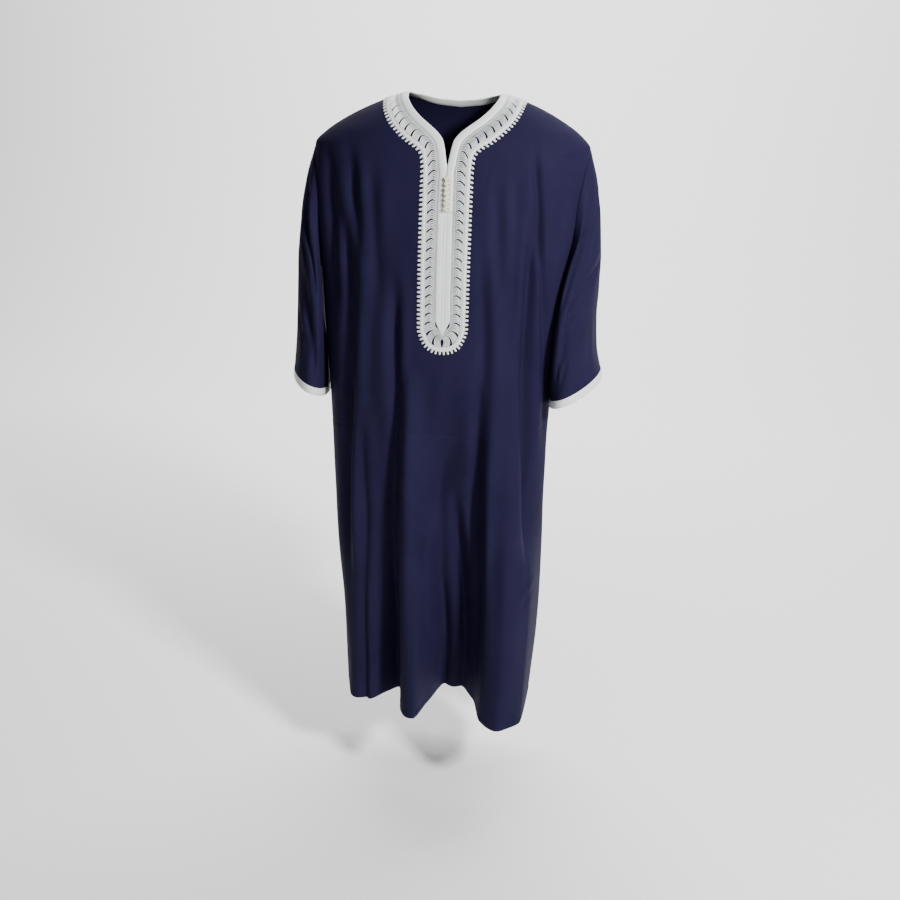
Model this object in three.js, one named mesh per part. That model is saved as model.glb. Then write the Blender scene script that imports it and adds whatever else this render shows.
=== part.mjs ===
// A short-sleeved, hoodless djellaba (gandoura cut) in its worn, hollow form.
// Millimetres. +X is the wearer's left, -Y the front, +Z up.
// The origin lies midway between the two points where the neckline crosses the shoulder line.
import * as THREE from "three";

const { lerp, smoothstep, degToRad } = THREE.MathUtils;

// Cloth and trim
const wall = 1.6; // cloth wall, drawn thicker than the real cloth so that it can be held as a solid
const seamGap = 0.3; // between two pieces at a seam
const trimLift = 0.9; // between the cloth and what is sewn on it
const satinWall = 1.0;
const braidWall = 1.6;
const cuffWall = 2.4; // the cuff binding is folded over the sleeve's end

// Body
const shoulderHalf = 285; // neck centre to armhole, along X
const shoulderDrop = 102; // how far the armhole's top lies below the neck points
const underarmDrop = 360;
const armholeDeep = 58; // how far the armhole's front and back edges lie from its middle plane
const slitDrop = 1092; // top of the side slits
const slitOpening = 9; // degrees that each panel's edge stands back from the side at the hem
const hemDrop = 1352;
const hemFollowsFold = 0.14; // how much lower the hem hangs where a fold stands out, as a share of it
const sidesStill = 30; // depth off the side seams over which folds and creases fade in
const columnsCrowd = 0.4; // how far the skirt's columns crowd towards the side seams

// Trim
const braidGapToSatin = 0.5;
const toothLong = 7.6;
const toothPitch = 9;
const toothShare = 0.54; // tooth width over pitch
const slitFoot = 149; // the front opening's foot
const slitFastenedTo = 225; // the opening's satin edges meet down to here
const bindingSteps = 34; // from the centre back to the binding's end
const placketHalf = 19;
const placketStraightTo = 440;
const placketTip = 471;
const placketTipHalf = 0.6;
const placketSteps = 12;

// Buttons
const buttonCount = 7;
const buttonRadius = 4.1;
const buttonFirstDrop = 160;
const buttonPitch = 9.4;
const buttonSides = 10;
const buttonRings = 6;

// Cuffs
const cuffWide = 17;

// Working precision
const solveSteps = 40;
const settleSteps = 8;
const tableSteps = 900; // of a line whose length is measured
const sharedWithin = 0.05; // points this close are one point

// Horizontal sections of the body. drop: below the neck points; half: half width; shift: sideways lean;
// front, back: depth ahead of and behind the side seams; round: exponent of the oval.
const bodySections = [
  { drop: 0, half: 97, shift: 0, front: 56, back: 60, round: 2.0 },
  { drop: 14, half: 145, shift: 0, front: 70, back: 72, round: 2.0 },
  { drop: 50, half: 222, shift: -2, front: 94, back: 94, round: 2.1 },
  { drop: 80, half: 266, shift: -4, front: 110, back: 106, round: 2.2 },
  { drop: 102, half: 285, shift: -6, front: 118, back: 112, round: 2.2 },
  { drop: 150, half: 290, shift: -7, front: 130, back: 119, round: 2.2 },
  { drop: 230, half: 286, shift: -9, front: 142, back: 124, round: 2.2 },
  { drop: 360, half: 268, shift: -14, front: 151, back: 118, round: 2.2 },
  { drop: 520, half: 253, shift: -20, front: 151, back: 108, round: 2.2 },
  { drop: 770, half: 240, shift: -19, front: 148, back: 106, round: 2.2 },
  { drop: 990, half: 238, shift: -13, front: 146, back: 110, round: 2.2 },
  { drop: 1210, half: 230, shift: -7, front: 146, back: 116, round: 2.2 },
  { drop: 1400, half: 222, shift: -9, front: 148, back: 120, round: 2.2 },
];

// Where the panels' threads leave the neckline and the shoulder line, as distances from the centre.
const neckHalf = 97;
const threadPlaces = [0, 3, 9, 20, 40, 62, 82, 97, 120, 143, 166, 189, 211, 232, 251, 266, 277, 285];
const armholeRows = 13;
const skirtRows = 15;
const threadsSpreadFrom = 0.35; // share of the armhole's depth where the threads begin to even out
const threadsLeanBy = 0.6; // share of it by which they all follow the body's sideways lean

// The folds that run up from the hem. place: share of the half width; out: how far the cloth stands out
// of the plain oval at the hem. They start at foldsFrom and grow downwards.
const foldsFrom = 530;
const foldsGrowBy = 0.25; // share of the way to the hem by which they have their full rate
const frontFolds = [
  { place: -1, out: 0 },
  { place: -0.86, out: 38 },
  { place: -0.7, out: 26 },
  { place: -0.4, out: -38 },
  { place: -0.3, out: 20 },
  { place: -0.16, out: 48 },
  { place: -0.05, out: -10 },
  { place: 0.1, out: -76 },
  { place: 0.22, out: -74 },
  { place: 0.41, out: -34 },
  { place: 0.52, out: 50 },
  { place: 0.72, out: 96 },
  { place: 0.92, out: 98 },
  { place: 1, out: 0 },
];
const backFolds = [
  { place: -1, out: 0 },
  { place: -0.84, out: 56 },
  { place: -0.64, out: 50 },
  { place: -0.44, out: -38 },
  { place: -0.26, out: -30 },
  { place: -0.1, out: 52 },
  { place: 0.08, out: 58 },
  { place: 0.24, out: -36 },
  { place: 0.4, out: -42 },
  { place: 0.56, out: 44 },
  { place: 0.82, out: 62 },
  { place: 1, out: 0 },
];

// Soft upright creases beside the armholes. place, endPlace: shares of the half width at their top and
// foot; from, to: drops; depth: into the cloth; wide: share of the half width.
const frontCreases = [
  { place: 0.84, endPlace: 0.9, from: 110, to: 820, depth: 10, wide: 0.07 },
  { place: -0.78, endPlace: -0.84, from: 120, to: 480, depth: 7, wide: 0.08 },
];
const backCreases = [
  { place: 0.8, endPlace: 0.84, from: 120, to: 640, depth: 9, wide: 0.08 },
  { place: -0.8, endPlace: -0.84, from: 120, to: 600, depth: 8, wide: 0.08 },
];

// Cross lines of the neck trim on the wearer's left, from the centre back over the shoulder to the
// front, down the opening and round the placket's tip. edge: on the neckline or opening; tips: on the
// comb's tooth tips; satin: width of the smooth binding from the edge.
const trimLines = [
  { edge: [0, 73, -16], tips: [0, 99, -60], satin: 15 },
  { edge: [40, 68, -12], tips: [55, 95, -57], satin: 15 },
  { edge: [70, 53, -6], tips: [101, 76, -42], satin: 15 },
  { edge: [92, 27, -1.5], tips: [138, 40, -21], satin: 15 },
  { edge: [97, 0, 0], tips: [146, 0, -14.5], satin: 15 },
  { edge: [95, -20, -2], tips: [145, -25, -18], satin: 15 },
  { edge: [91, -48, -13], tips: [141, -52, -32], satin: 15 },
  { edge: [80, -71, -28], tips: [129, -80, -55], satin: 15 },
  { edge: [61, -88, -46], tips: [110, -99, -75], satin: 15 },
  { edge: [38, -100, -63], tips: [86, -111, -94], satin: 15 },
  { edge: [22, -107, -76], tips: [68, -116, -105], satin: 15 },
  { edge: [12, -113, -89], tips: [57, -120, -116], satin: 15.5 },
  { edge: [7.5, -118, -105], tips: [54, -124, -130], satin: 16 },
  { edge: [3.5, -124, -128], tips: [53, -128, -146], satin: 17 },
  { edge: [0.3, -129, -149], tips: [53, -131, -163], satin: 19 },
  { edge: [0.3, -140, -215], tips: [53, -138, -222], satin: 19 },
  { edge: [0.3, -148, -330], tips: [53, -147, -332], satin: 19 },
  { edge: [0.3, -151, -440], tips: [53, -150, -440], satin: 19 },
  { edge: [0, -151, -458], tips: [53, -150, -458], satin: 8.3 },
  { edge: [0, -151, -458], tips: [37.5, -151, -495.5], satin: 7.4 },
  { edge: [0, -151, -458], tips: [18, -151, -508], satin: 9.2 },
  { edge: [0, -151, -458], tips: [0, -151, -511], satin: 14 },
];

// Sleeves. side: +1 is the wearer's left; middle: the cuff's centre; across, deep: the cuff oval's half
// sizes; turn: degrees that the oval turns forwards and in; riseOut, riseBack: slope of the cuff's rim;
// bulge: how far the outer line stands out along its length; frontIn: how far the front hangs in.
const sleeves = [
  {
    name: "sleeve_left",
    side: 1,
    middle: [281, 0, -611],
    across: 48,
    deep: 92,
    turn: 21,
    riseOut: 0.45,
    riseBack: 0.04,
    bulge: [0, 12, 15, 13, 4, -7, -11, 0],
    frontIn: 16,
  },
  {
    name: "sleeve_right",
    side: -1,
    middle: [313, 0, -621.5],
    across: 40,
    deep: 96,
    turn: 11,
    riseOut: 0.45,
    riseBack: -0.04,
    bulge: [0, 14, 18, 18, 13, 7, 2, 0],
    frontIn: 9,
  },
];
const sleeveRows = 13;
// How far the sleeve's front, back and inner side stand off past the armhole seam, and at what share of
// its length; dip: the share less by which it does round an angle, so that it hangs over the side seam.
const standOff = { high: 20, at: 0.12, dip: 0.95, dipAround: 212, dipWide: 35 };
const sleeveFuller = 12; // how much deeper, front and back, the sleeve is in its middle
// Folds of a sleeve. around, aroundEnd: degrees round it at its start and end, 90 outwards, 180 in front;
// from, to: share of its length; depth: out of the cloth; wide: degrees.
const sleeveFolds = [
  { around: 120, aroundEnd: 176, from: 0.02, to: 0.5, depth: -9, wide: 17 },
  { around: 128, aroundEnd: 196, from: 0.4, to: 0.98, depth: -10, wide: 19 },
  { around: 60, aroundEnd: 8, from: 0.05, to: 0.62, depth: -9, wide: 18 },
  { around: 40, aroundEnd: 30, from: 0.5, to: 1.0, depth: 6, wide: 20 },
];

const navy = new THREE.MeshStandardMaterial({ color: 0x1d2143, roughness: 0.72, metalness: 0 });
const satin = new THREE.MeshStandardMaterial({ color: 0xd5d9d8, roughness: 0.45, metalness: 0 });
const embroidery = new THREE.MeshStandardMaterial({ color: 0xc9cdcd, roughness: 0.6, metalness: 0 });
const cream = new THREE.MeshStandardMaterial({ color: 0xe4e2d4, roughness: 0.5, metalness: 0 });

const vector = (x, y, z) => new THREE.Vector3(x, y, z);
const mod = (i, n) => ((i % n) + n) % n;

// A smooth value through evenly or unevenly spaced knots, with no overshoot.
function smoothThrough(places, values, x) {
  const last = places.length - 1;
  let k = 0;
  while (k < last - 1 && x > places[k + 1]) k++;
  const slopeOver = (i) => (values[i + 1] - values[i]) / (places[i + 1] - places[i]);
  const slopeAt = (i) => {
    if (i === 0) return slopeOver(0);
    if (i === last) return slopeOver(last - 1);
    const before = slopeOver(i - 1);
    const after = slopeOver(i);
    return before * after <= 0 ? 0 : (2 * before * after) / (before + after);
  };
  const step = places[k + 1] - places[k];
  const u = (x - places[k]) / step;
  const uu = u * u;
  const uuu = uu * u;
  return (
    (2 * uuu - 3 * uu + 1) * values[k] +
    (uuu - 2 * uu + u) * step * slopeAt(k) +
    (3 * uu - 2 * uuu) * values[k + 1] +
    (uuu - uu) * step * slopeAt(k + 1)
  );
}

const sectionDrops = bodySections.map((row) => row.drop);
const sectionColumns = {};
for (const key of ["half", "shift", "front", "back", "round"]) {
  sectionColumns[key] = bodySections.map((row) => row[key]);
}

function sectionAt(drop) {
  const section = {};
  for (const key of Object.keys(sectionColumns)) {
    section[key] = smoothThrough(sectionDrops, sectionColumns[key], Math.max(drop, 0));
  }
  return section;
}

// Solves rising(x) = 0 between two limits.
function solve(rising, low, high) {
  for (let i = 0; i < solveSteps; i++) {
    const middle = (low + high) / 2;
    if (rising(middle) < 0) low = middle;
    else high = middle;
  }
  return (low + high) / 2;
}

// How far below the neck points the shoulder line is at x.
function shoulderLineDrop(x) {
  const outside = (drop) => {
    const { half, shift } = sectionAt(drop);
    return half - Math.abs(x - shift);
  };
  return solve(outside, 0, shoulderDrop + 20);
}

// The share of a section's depth that is left at a share of its half width.
const depthShare = (share, round) => Math.pow(Math.max(1 - Math.pow(Math.abs(share), round), 0), 1 / round);

// A thread's place on the evenly spaced columns of the skirt, as a share of the half width.
const evenShare = (i, last) => lerp(i / last, Math.sin((Math.PI / 2) * (i / last)), columnsCrowd);

// Neckline drops at x, from the trim's edge line: the front dips to the opening's foot.
function necklineDrop(face, x) {
  const onFace = trimLines.filter(({ edge }) => edge[1] * face >= 0 && edge[2] >= -slitFoot);
  const sorted = onFace.sort((a, b) => a.edge[0] - b.edge[0]);
  return -smoothThrough(
    sorted.map(({ edge }) => edge[0]),
    sorted.map(({ edge }) => edge[2]),
    Math.max(Math.abs(x), sorted[0].edge[0]),
  );
}

function foldOut(face, share, drop) {
  const folds = face < 0 ? frontFolds : backFolds;
  const out = smoothThrough(
    folds.map((fold) => fold.place),
    folds.map((fold) => fold.out),
    share,
  );
  const down = Math.max((drop - foldsFrom) / (hemDrop - foldsFrom), 0);
  return out * down * smoothstep(down, 0, foldsGrowBy);
}

function creaseIn(face, share, drop) {
  let depth = 0;
  for (const crease of face < 0 ? frontCreases : backCreases) {
    const along = (drop - crease.from) / (crease.to - crease.from);
    if (along <= 0 || along >= 1) continue;
    const away = (share - lerp(crease.place, crease.endPlace, along)) / crease.wide;
    depth += crease.depth * Math.sin(Math.PI * Math.sqrt(along)) * Math.exp(-away * away);
  }
  return depth;
}

// A point of the body's middle surface. face: -1 front, 1 back.
function bodyPoint(face, x, drop) {
  const { half, shift, front, back, round } = sectionAt(drop);
  const share = THREE.MathUtils.clamp((x - shift) / half, -1, 1);
  const deep = face < 0 ? front : back;
  const y = face * deep * depthShare(share, round);
  const nx = (Math.sign(share) * Math.pow(Math.abs(share), round - 1)) / half;
  const ny = (face * Math.pow(Math.abs(y) / deep, round - 1)) / deep;
  const crease = creaseIn(face, share, drop) / Math.hypot(nx, ny);
  const atSide = smoothstep(Math.abs(y), 0, sidesStill); // the side seams stay where they are
  const fold = face * foldOut(face, share, drop) * atSide;
  return vector(x - crease * nx * atSide, y - crease * ny * atSide + fold, -drop);
}

// The armhole's edge at v, 0 at its top and 1 at the underarm.
function armholeEdge(face, side, v) {
  const drop = lerp(shoulderDrop, underarmDrop, (1 - Math.cos(Math.PI * v)) / 2);
  const { half, shift, front, back, round } = sectionAt(drop);
  const away = armholeDeep * Math.sin(Math.PI * v);
  const share = depthShare(away / (face < 0 ? front : back), round);
  return vector(shift + side * half * share, face * away, -drop);
}

// The hem hangs a little lower where a fold stands out.
function hemDropAt(face, share) {
  return hemDrop + hemFollowsFold * foldOut(face, share, hemDrop);
}

// A panel's middle surface as rows of points, from the shoulder and neckline to the hem.
function panelGrid(face) {
  const rows = [];
  for (let j = 0; j <= armholeRows; j++) rows.push(upperRow(face, j / armholeRows));
  for (let j = 1; j <= skirtRows; j++) rows.push(skirtRow(face, j / skirtRows));
  return rows;
}

// A row above the underarm, at v from 0 along the shoulder to 1 at the underarm.
function upperRow(face, v) {
  return threads((side, place, i, last) => {
    const edge = armholeEdge(face, side || 1, v);
    if (i === last) return edge;
    const { shift } = sectionAt(-edge.z);
    const share = side * lerp(place / shoulderHalf, evenShare(i, last), smoothstep(v, threadsSpreadFrom, 1));
    const leanAtTop = smoothstep(place, neckHalf, shoulderHalf);
    const lean = lerp(leanAtTop, 1, smoothstep(v, 0, threadsLeanBy)) * shift;
    const x = lean + share * Math.abs(edge.x - shift);
    if (v === 0 && place >= neckHalf) return vector(x, 0, -shoulderLineDrop(x));
    const topX = leanAtTop * sectionAt(shoulderDrop).shift + side * place;
    const top = place < neckHalf ? necklineDrop(face, place) : shoulderLineDrop(topX);
    return bodyPoint(face, x, lerp(top, underarmDrop, (1 - Math.cos(Math.PI * v)) / 2));
  });
}

// A row below the underarm, at down from 0 at the underarm to 1 at the hem.
function skirtRow(face, down) {
  return threads((side, place, i, last) => {
    const straight = side * evenShare(i, last);
    const drop = lerp(underarmDrop, hemDropAt(face, straight), down);
    const { half, shift, round } = sectionAt(drop);
    const open = degToRad(slitOpening * smoothstep(drop, slitDrop, hemDrop + 60));
    return bodyPoint(face, shift + straight * Math.pow(Math.cos(open), 2 / round) * half, drop);
  });
}

// One value a thread, from the wearer's right to the left.
function threads(use) {
  const last = threadPlaces.length - 1;
  const values = [];
  for (let i = -last; i <= last; i++) {
    const fromCentre = Math.abs(i);
    values.push(use(Math.sign(i), threadPlaces[fromCentre], fromCentre, last));
  }
  return values;
}

// A sleeve's middle surface as rings from the armhole to the cuff. Each ring starts at the underarm,
// climbs the back edge to the top and comes down the front edge.
function sleeveGrid(sleeve) {
  const { side, middle, across, deep, turn, riseOut, riseBack, bulge, frontIn } = sleeve;
  const rim = (angle) => {
    const outward = across * Math.sin(angle);
    const backward = deep * Math.cos(angle);
    const c = Math.cos(degToRad(turn));
    const s = Math.sin(degToRad(turn));
    const x = outward * c + backward * s;
    const y = backward * c - outward * s;
    return vector(side * (middle[0] + x), middle[1] + y, middle[2] + riseOut * x + riseBack * y);
  };
  const around = [];
  for (let j = armholeRows; j > 0; j--) around.push({ face: 1, v: j / armholeRows });
  for (let j = 0; j < armholeRows; j++) around.push({ face: -1, v: j / armholeRows });
  const bulgePlaces = bulge.map((_, i) => i / (bulge.length - 1));
  const rings = [];
  for (let k = 0; k <= sleeveRows; k++) {
    const t = k / sleeveRows;
    const ring = around.map(({ face, v }) => {
      const angle = Math.PI / 2 - face * Math.PI * v;
      const degrees = mod((angle * 180) / Math.PI, 360);
      const swell = Math.sin(Math.PI * t);
      const outside = Math.max(Math.sin(angle), 0);
      const outwards = outside * smoothThrough(bulgePlaces, bulge, t);
      const hangsIn = frontIn * swell * Math.max(-Math.cos(angle), 0);
      const folded = sleeveFoldOut(degrees, t);
      const point = armholeEdge(face, side, v).lerp(rim(angle), t);
      point.x += side * (outwards + standsOff(face, degrees, t) - hangsIn + folded * Math.sin(angle));
      point.y += (sleeveFuller * swell + folded) * Math.cos(angle);
      return point;
    });
    rings.push(ring);
  }
  return rings;
}

function standsOff(face, degrees, t) {
  const leaving = t / standOff.at;
  const away = (degrees - standOff.dipAround) / standOff.dipWide;
  const dip = face < 0 ? standOff.dip * Math.exp(-away * away) : 0;
  const outside = Math.max(Math.sin((degrees * Math.PI) / 180), 0);
  return standOff.high * leaving * Math.exp(1 - leaving) * (1 - outside - dip);
}

function sleeveFoldOut(degrees, t) {
  let out = 0;
  for (const fold of sleeveFolds) {
    const along = (t - fold.from) / (fold.to - fold.from);
    if (along <= 0 || along >= 1) continue;
    const away = (degrees - lerp(fold.around, fold.aroundEnd, along)) / fold.wide;
    out += fold.depth * Math.sin(Math.PI * along) * Math.exp(-away * away);
  }
  return out;
}

// Normals of a grid of points, pointing out of the body.
function gridNormals(grid, wraps, flip) {
  return grid.map((row, j) =>
    row.map((_, i) => {
      const at = (jj, ii) => {
        const r = grid[Math.min(Math.max(jj, 0), grid.length - 1)];
        return wraps ? r[mod(ii, r.length)] : r[Math.min(Math.max(ii, 0), r.length - 1)];
      };
      const along = at(j, i + 1).clone().sub(at(j, i - 1));
      const down = at(j + 1, i).clone().sub(at(j - 1, i));
      return along.cross(down).multiplyScalar(flip).normalize();
    }),
  );
}

const keyOf = (p) => [p.x, p.y, p.z].map((v) => Math.round(v / sharedWithin)).join(" ");

// Gives points that two pieces share at a seam one common normal.
function shareNormals(pieces) {
  const shared = new Map();
  const each = (use) => {
    for (const { grid, normals } of pieces) {
      grid.forEach((row, j) => row.forEach((point, i) => use(keyOf(point), normals[j], i)));
    }
  };
  each((key, normals, i) => {
    if (!shared.has(key)) shared.set(key, vector(0, 0, 0));
    shared.get(key).add(normals[i]);
  });
  each((key, normals, i) => {
    normals[i] = shared.get(key).clone().normalize();
  });
}

// Moves a border point into its piece, square to the border that runs from before to after.
function drawnIn(point, inner, before, after) {
  const along = after.clone().sub(before).normalize();
  const into = inner.clone().sub(point);
  into.addScaledVector(along, -into.dot(along));
  return into.setLength(seamGap / 2).add(point);
}

// Draws a grid's sewn borders back along the cloth to leave the gap of a seam.
function drawBack(grid, borders, wraps = false) {
  const lastRow = grid.length - 1;
  const lastColumn = grid[0].length - 1;
  const moved = grid.map((row) => row.map((point) => point.clone()));
  const column = (i) => (wraps ? mod(i, lastColumn + 1) : Math.min(Math.max(i, 0), lastColumn));
  const row = (j) => Math.min(Math.max(j, 0), lastRow);
  if (borders.includes("top")) {
    grid[0].forEach((point, i) => {
      moved[0][i] = drawnIn(point, grid[1][i], grid[0][column(i - 1)], grid[0][column(i + 1)]);
    });
  }
  for (const [name, at, inner] of [["left", 0, 1], ["right", lastColumn, lastColumn - 1]]) {
    if (!borders.includes(name)) continue;
    grid.forEach((points, j) => {
      moved[j][at] = drawnIn(moved[j][at], points[inner], grid[row(j - 1)][at], grid[row(j + 1)][at]);
    });
  }
  return moved;
}

// A closed solid between two offsets of a grid. kept(j, i) says which cells are there.
function solidFromGrid({ grid, normals, inner, outer, wraps = false, kept = () => true }) {
  const columns = grid[0].length;
  const cellColumns = wraps ? columns : columns - 1;
  const cellRows = grid.length - 1;
  const positions = [];
  for (const offset of [inner, outer]) {
    grid.forEach((row, j) =>
      row.forEach((point, i) => {
        const moved = point.clone().addScaledVector(normals[j][i], offset);
        positions.push(...moved.toArray());
      }),
    );
  }
  const layer = grid.length * columns;
  const low = (j, i) => j * columns + mod(i, columns);
  const high = (j, i) => layer + low(j, i);
  const isKept = (j, i) => {
    if (j < 0 || j >= cellRows) return false;
    if (!wraps && (i < 0 || i >= cellColumns)) return false;
    return kept(j, mod(i, cellColumns));
  };
  const faces = [];
  const between = (a, b) => [0, 1, 2].map((k) => positions[3 * a + k] - positions[3 * b + k]);
  const apart = (a, b) => Math.hypot(...between(a, b));
  const quad = (a, b, c, d) => {
    if (apart(a, c) <= apart(b, d)) faces.push(a, b, c, a, c, d);
    else faces.push(a, b, d, b, c, d);
  };
  for (let j = 0; j < cellRows; j++) {
    for (let i = 0; i < cellColumns; i++) {
      if (!isKept(j, i)) continue;
      quad(high(j, i), high(j + 1, i), high(j + 1, i + 1), high(j, i + 1));
      quad(low(j, i), low(j, i + 1), low(j + 1, i + 1), low(j + 1, i));
      if (!isKept(j - 1, i)) quad(high(j, i), high(j, i + 1), low(j, i + 1), low(j, i));
      if (!isKept(j + 1, i)) quad(high(j + 1, i + 1), high(j + 1, i), low(j + 1, i), low(j + 1, i + 1));
      if (!isKept(j, i - 1)) quad(high(j + 1, i), high(j, i), low(j, i), low(j + 1, i));
      if (!isKept(j, i + 1)) quad(high(j, i + 1), high(j + 1, i + 1), low(j + 1, i + 1), low(j, i + 1));
    }
  }
  const geometry = new THREE.BufferGeometry();
  geometry.setAttribute("position", new THREE.Float32BufferAttribute(positions, 3));
  geometry.setIndex(faces);
  return geometry;
}

// Turns a solid's faces to point out, whichever way its grid ran.
function facingOut(geometry) {
  const place = geometry.getAttribute("position");
  const index = geometry.getIndex();
  const corner = (k) => vector().fromBufferAttribute(place, index.getX(k));
  let volume = 0;
  for (let k = 0; k < index.count; k += 3) {
    volume += corner(k).dot(corner(k + 1).cross(corner(k + 2)));
  }
  if (volume < 0) index.array.reverse();
  const loose = geometry.toNonIndexed();
  loose.computeVertexNormals();
  return loose;
}

function namedMesh(name, geometry, material) {
  const mesh = new THREE.Mesh(facingOut(geometry), material);
  mesh.name = name;
  return mesh;
}

// --- the cloth ---

function makeCloth(group) {
  const panels = [
    { name: "front_panel", grid: panelGrid(-1), flip: -1 },
    { name: "back_panel", grid: panelGrid(1), flip: 1 },
  ];
  const tubes = sleeves.map((sleeve) => ({ name: sleeve.name, grid: sleeveGrid(sleeve), flip: sleeve.side }));
  for (const panel of panels) panel.normals = gridNormals(panel.grid, false, panel.flip);
  for (const tube of tubes) tube.normals = gridNormals(tube.grid, true, tube.flip);
  shareNormals([...panels, ...tubes]);
  for (const { name, grid, normals } of panels) {
    const drawn = drawBack(grid, ["left", "right", "top"]);
    const geometry = solidFromGrid({ grid: drawn, normals, inner: -wall / 2, outer: wall / 2 });
    group.add(namedMesh(name, geometry, navy));
  }
  for (const { name, grid, normals } of tubes) {
    const { sleeveEnd, cuffStart } = splitAtCuff(grid, normals);
    const drawn = drawBack(sleeveEnd.grid, ["top"], true);
    const tube = { grid: drawn, normals: sleeveEnd.normals, inner: -wall / 2, outer: wall / 2, wraps: true };
    group.add(namedMesh(name, solidFromGrid(tube), navy));
    const cuff = { ...cuffStart, inner: -cuffWall / 2, outer: cuffWall / 2, wraps: true };
    group.add(namedMesh(name.replace("sleeve", "cuff_binding"), solidFromGrid(cuff), satin));
  }
}

// Ends the sleeve's cloth a binding's width short of its rim and starts the binding there.
function splitAtCuff(grid, normals) {
  const last = grid.length - 1;
  const short = (distance) =>
    grid[last].map((point, i) => {
      const up = grid[last - 1][i].clone().sub(point).setLength(distance);
      return point.clone().add(up);
    });
  return {
    sleeveEnd: {
      grid: [...grid.slice(0, last), short(cuffWide + seamGap)],
      normals,
    },
    cuffStart: {
      grid: [short(cuffWide), grid[last]],
      normals: [normals[last], normals[last]],
    },
  };
}

// --- the neck trim ---

// How far outside the body's oval a point is; negative inside.
function outsideBody(point) {
  const { half, shift, front, back, round } = sectionAt(-point.z);
  const deep = point.y < 0 ? front : back;
  const x = Math.abs(point.x - shift) / half;
  const y = Math.abs(point.y) / deep;
  return Math.pow(Math.pow(x, round) + Math.pow(y, round), 1 / round) - 1;
}

function bodySlope(point) {
  const step = 0.5;
  const slope = ["x", "y", "z"].map((axis) => {
    const ahead = point.clone();
    const behind = point.clone();
    ahead[axis] += step;
    behind[axis] -= step;
    return (outsideBody(ahead) - outsideBody(behind)) / (2 * step);
  });
  return vector(...slope);
}

// Brings a point near the body onto its middle surface, and gives the way out there.
function ontoBody(point) {
  const placed = point.clone();
  for (let i = 0; i < settleSteps; i++) {
    const slope = bodySlope(placed);
    placed.addScaledVector(slope, -outsideBody(placed) / slope.lengthSq());
  }
  return { point: placed, normal: bodySlope(placed).normalize() };
}

// The trim's cross line at u, 0 at the centre back and 1 under the placket's tip.
function trimLineAt(u) {
  const places = trimLines.map((_, i) => i / (trimLines.length - 1));
  const read = (pick) => smoothThrough(places, trimLines.map(pick), u);
  const edge = vector(...[0, 1, 2].map((axis) => read((line) => line.edge[axis])));
  const tips = vector(...[0, 1, 2].map((axis) => read((line) => line.tips[axis])));
  return { edge, tips, satin: read((line) => line.satin) };
}

// The length along the tooth tips on one side, and the u at a share of it.
function evenAlongTips() {
  const lengths = [0];
  let before = trimLineAt(0).tips;
  for (let k = 1; k <= tableSteps; k++) {
    const here = trimLineAt(k / tableSteps).tips;
    lengths.push(lengths[k - 1] + here.distanceTo(before));
    before = here;
  }
  return { length: lengths[tableSteps], at: (share) => findShare(lengths, share) };
}

// Reads backwards from a table of running lengths: where the given share of the whole is reached.
function findShare(lengths, share) {
  const last = lengths.length - 1;
  const wanted = share * lengths[last];
  let k = 1;
  while (k < last && lengths[k] < wanted) k++;
  const part = (wanted - lengths[k - 1]) / (lengths[k] - lengths[k - 1]);
  return (k - 1 + part) / last;
}

// Cross lines of a strip on the body. strip(u) gives the points across it on the wearer's left.
function stripLines(uList, strip, side) {
  return uList.map((u) => strip(u).map((point) => ontoBody(vector(side * point.x, point.y, point.z))));
}

function makeBraid(group) {
  const { length, at } = evenAlongTips();
  const teeth = Math.round(length / toothPitch);
  const stations = [];
  for (let k = 0; k < teeth; k++) {
    stations.push(at((k + 0.5 - toothShare / 2) / teeth), at((k + 0.5 + toothShare / 2) / teeth));
  }
  const across = (u) => {
    const { edge, tips, satin: wide } = trimLineAt(u);
    const whole = edge.distanceTo(tips);
    const share = (distance) => edge.clone().lerp(tips, distance / whole);
    return [share(wide + braidGapToSatin), share(whole - toothLong), tips];
  };
  const left = stripLines(stations, across, 1);
  const right = stripLines([...stations].reverse(), across, -1);
  const lines = [...left, ...right];
  const grid = [0, 1, 2].map((row) => lines.map((line) => line[row].point));
  const normals = [0, 1, 2].map((row) => lines.map((line) => line[row].normal));
  const bottom = wall / 2 + trimLift;
  const geometry = solidFromGrid({
    grid,
    normals,
    inner: bottom,
    outer: bottom + braidWall,
    wraps: true,
    kept: (j, i) => j === 0 || i % 2 === 0,
  });
  group.add(namedMesh("braid", geometry, embroidery));
}

function makeNeckBinding(group) {
  const foot = trimLines.findIndex(({ edge }) => edge[2] < -slitFastenedTo);
  const spacing = trimLines.length - 1;
  const before = trimLines[foot - 1].edge[2];
  const part = (before + slitFastenedTo) / (before - trimLines[foot].edge[2]);
  const end = (foot - 1 + part) / spacing;
  const uList = Array.from({ length: bindingSteps + 1 }, (_, k) => (end * k) / bindingSteps);
  const across = (u) => {
    const { edge, tips, satin: wide } = trimLineAt(u);
    const whole = edge.distanceTo(tips);
    return [edge, edge.clone().lerp(tips, wide / whole)];
  };
  const left = stripLines(uList, across, 1);
  const right = stripLines(uList.slice(1).reverse(), across, -1);
  const lines = [...right, ...left];
  const bottom = wall / 2 + trimLift;
  const geometry = solidFromGrid({
    grid: [0, 1].map((row) => lines.map((line) => line[row].point)),
    normals: [0, 1].map((row) => lines.map((line) => line[row].normal)),
    inner: bottom,
    outer: bottom + satinWall,
  });
  group.add(namedMesh("neck_binding", geometry, satin));
}

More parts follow.
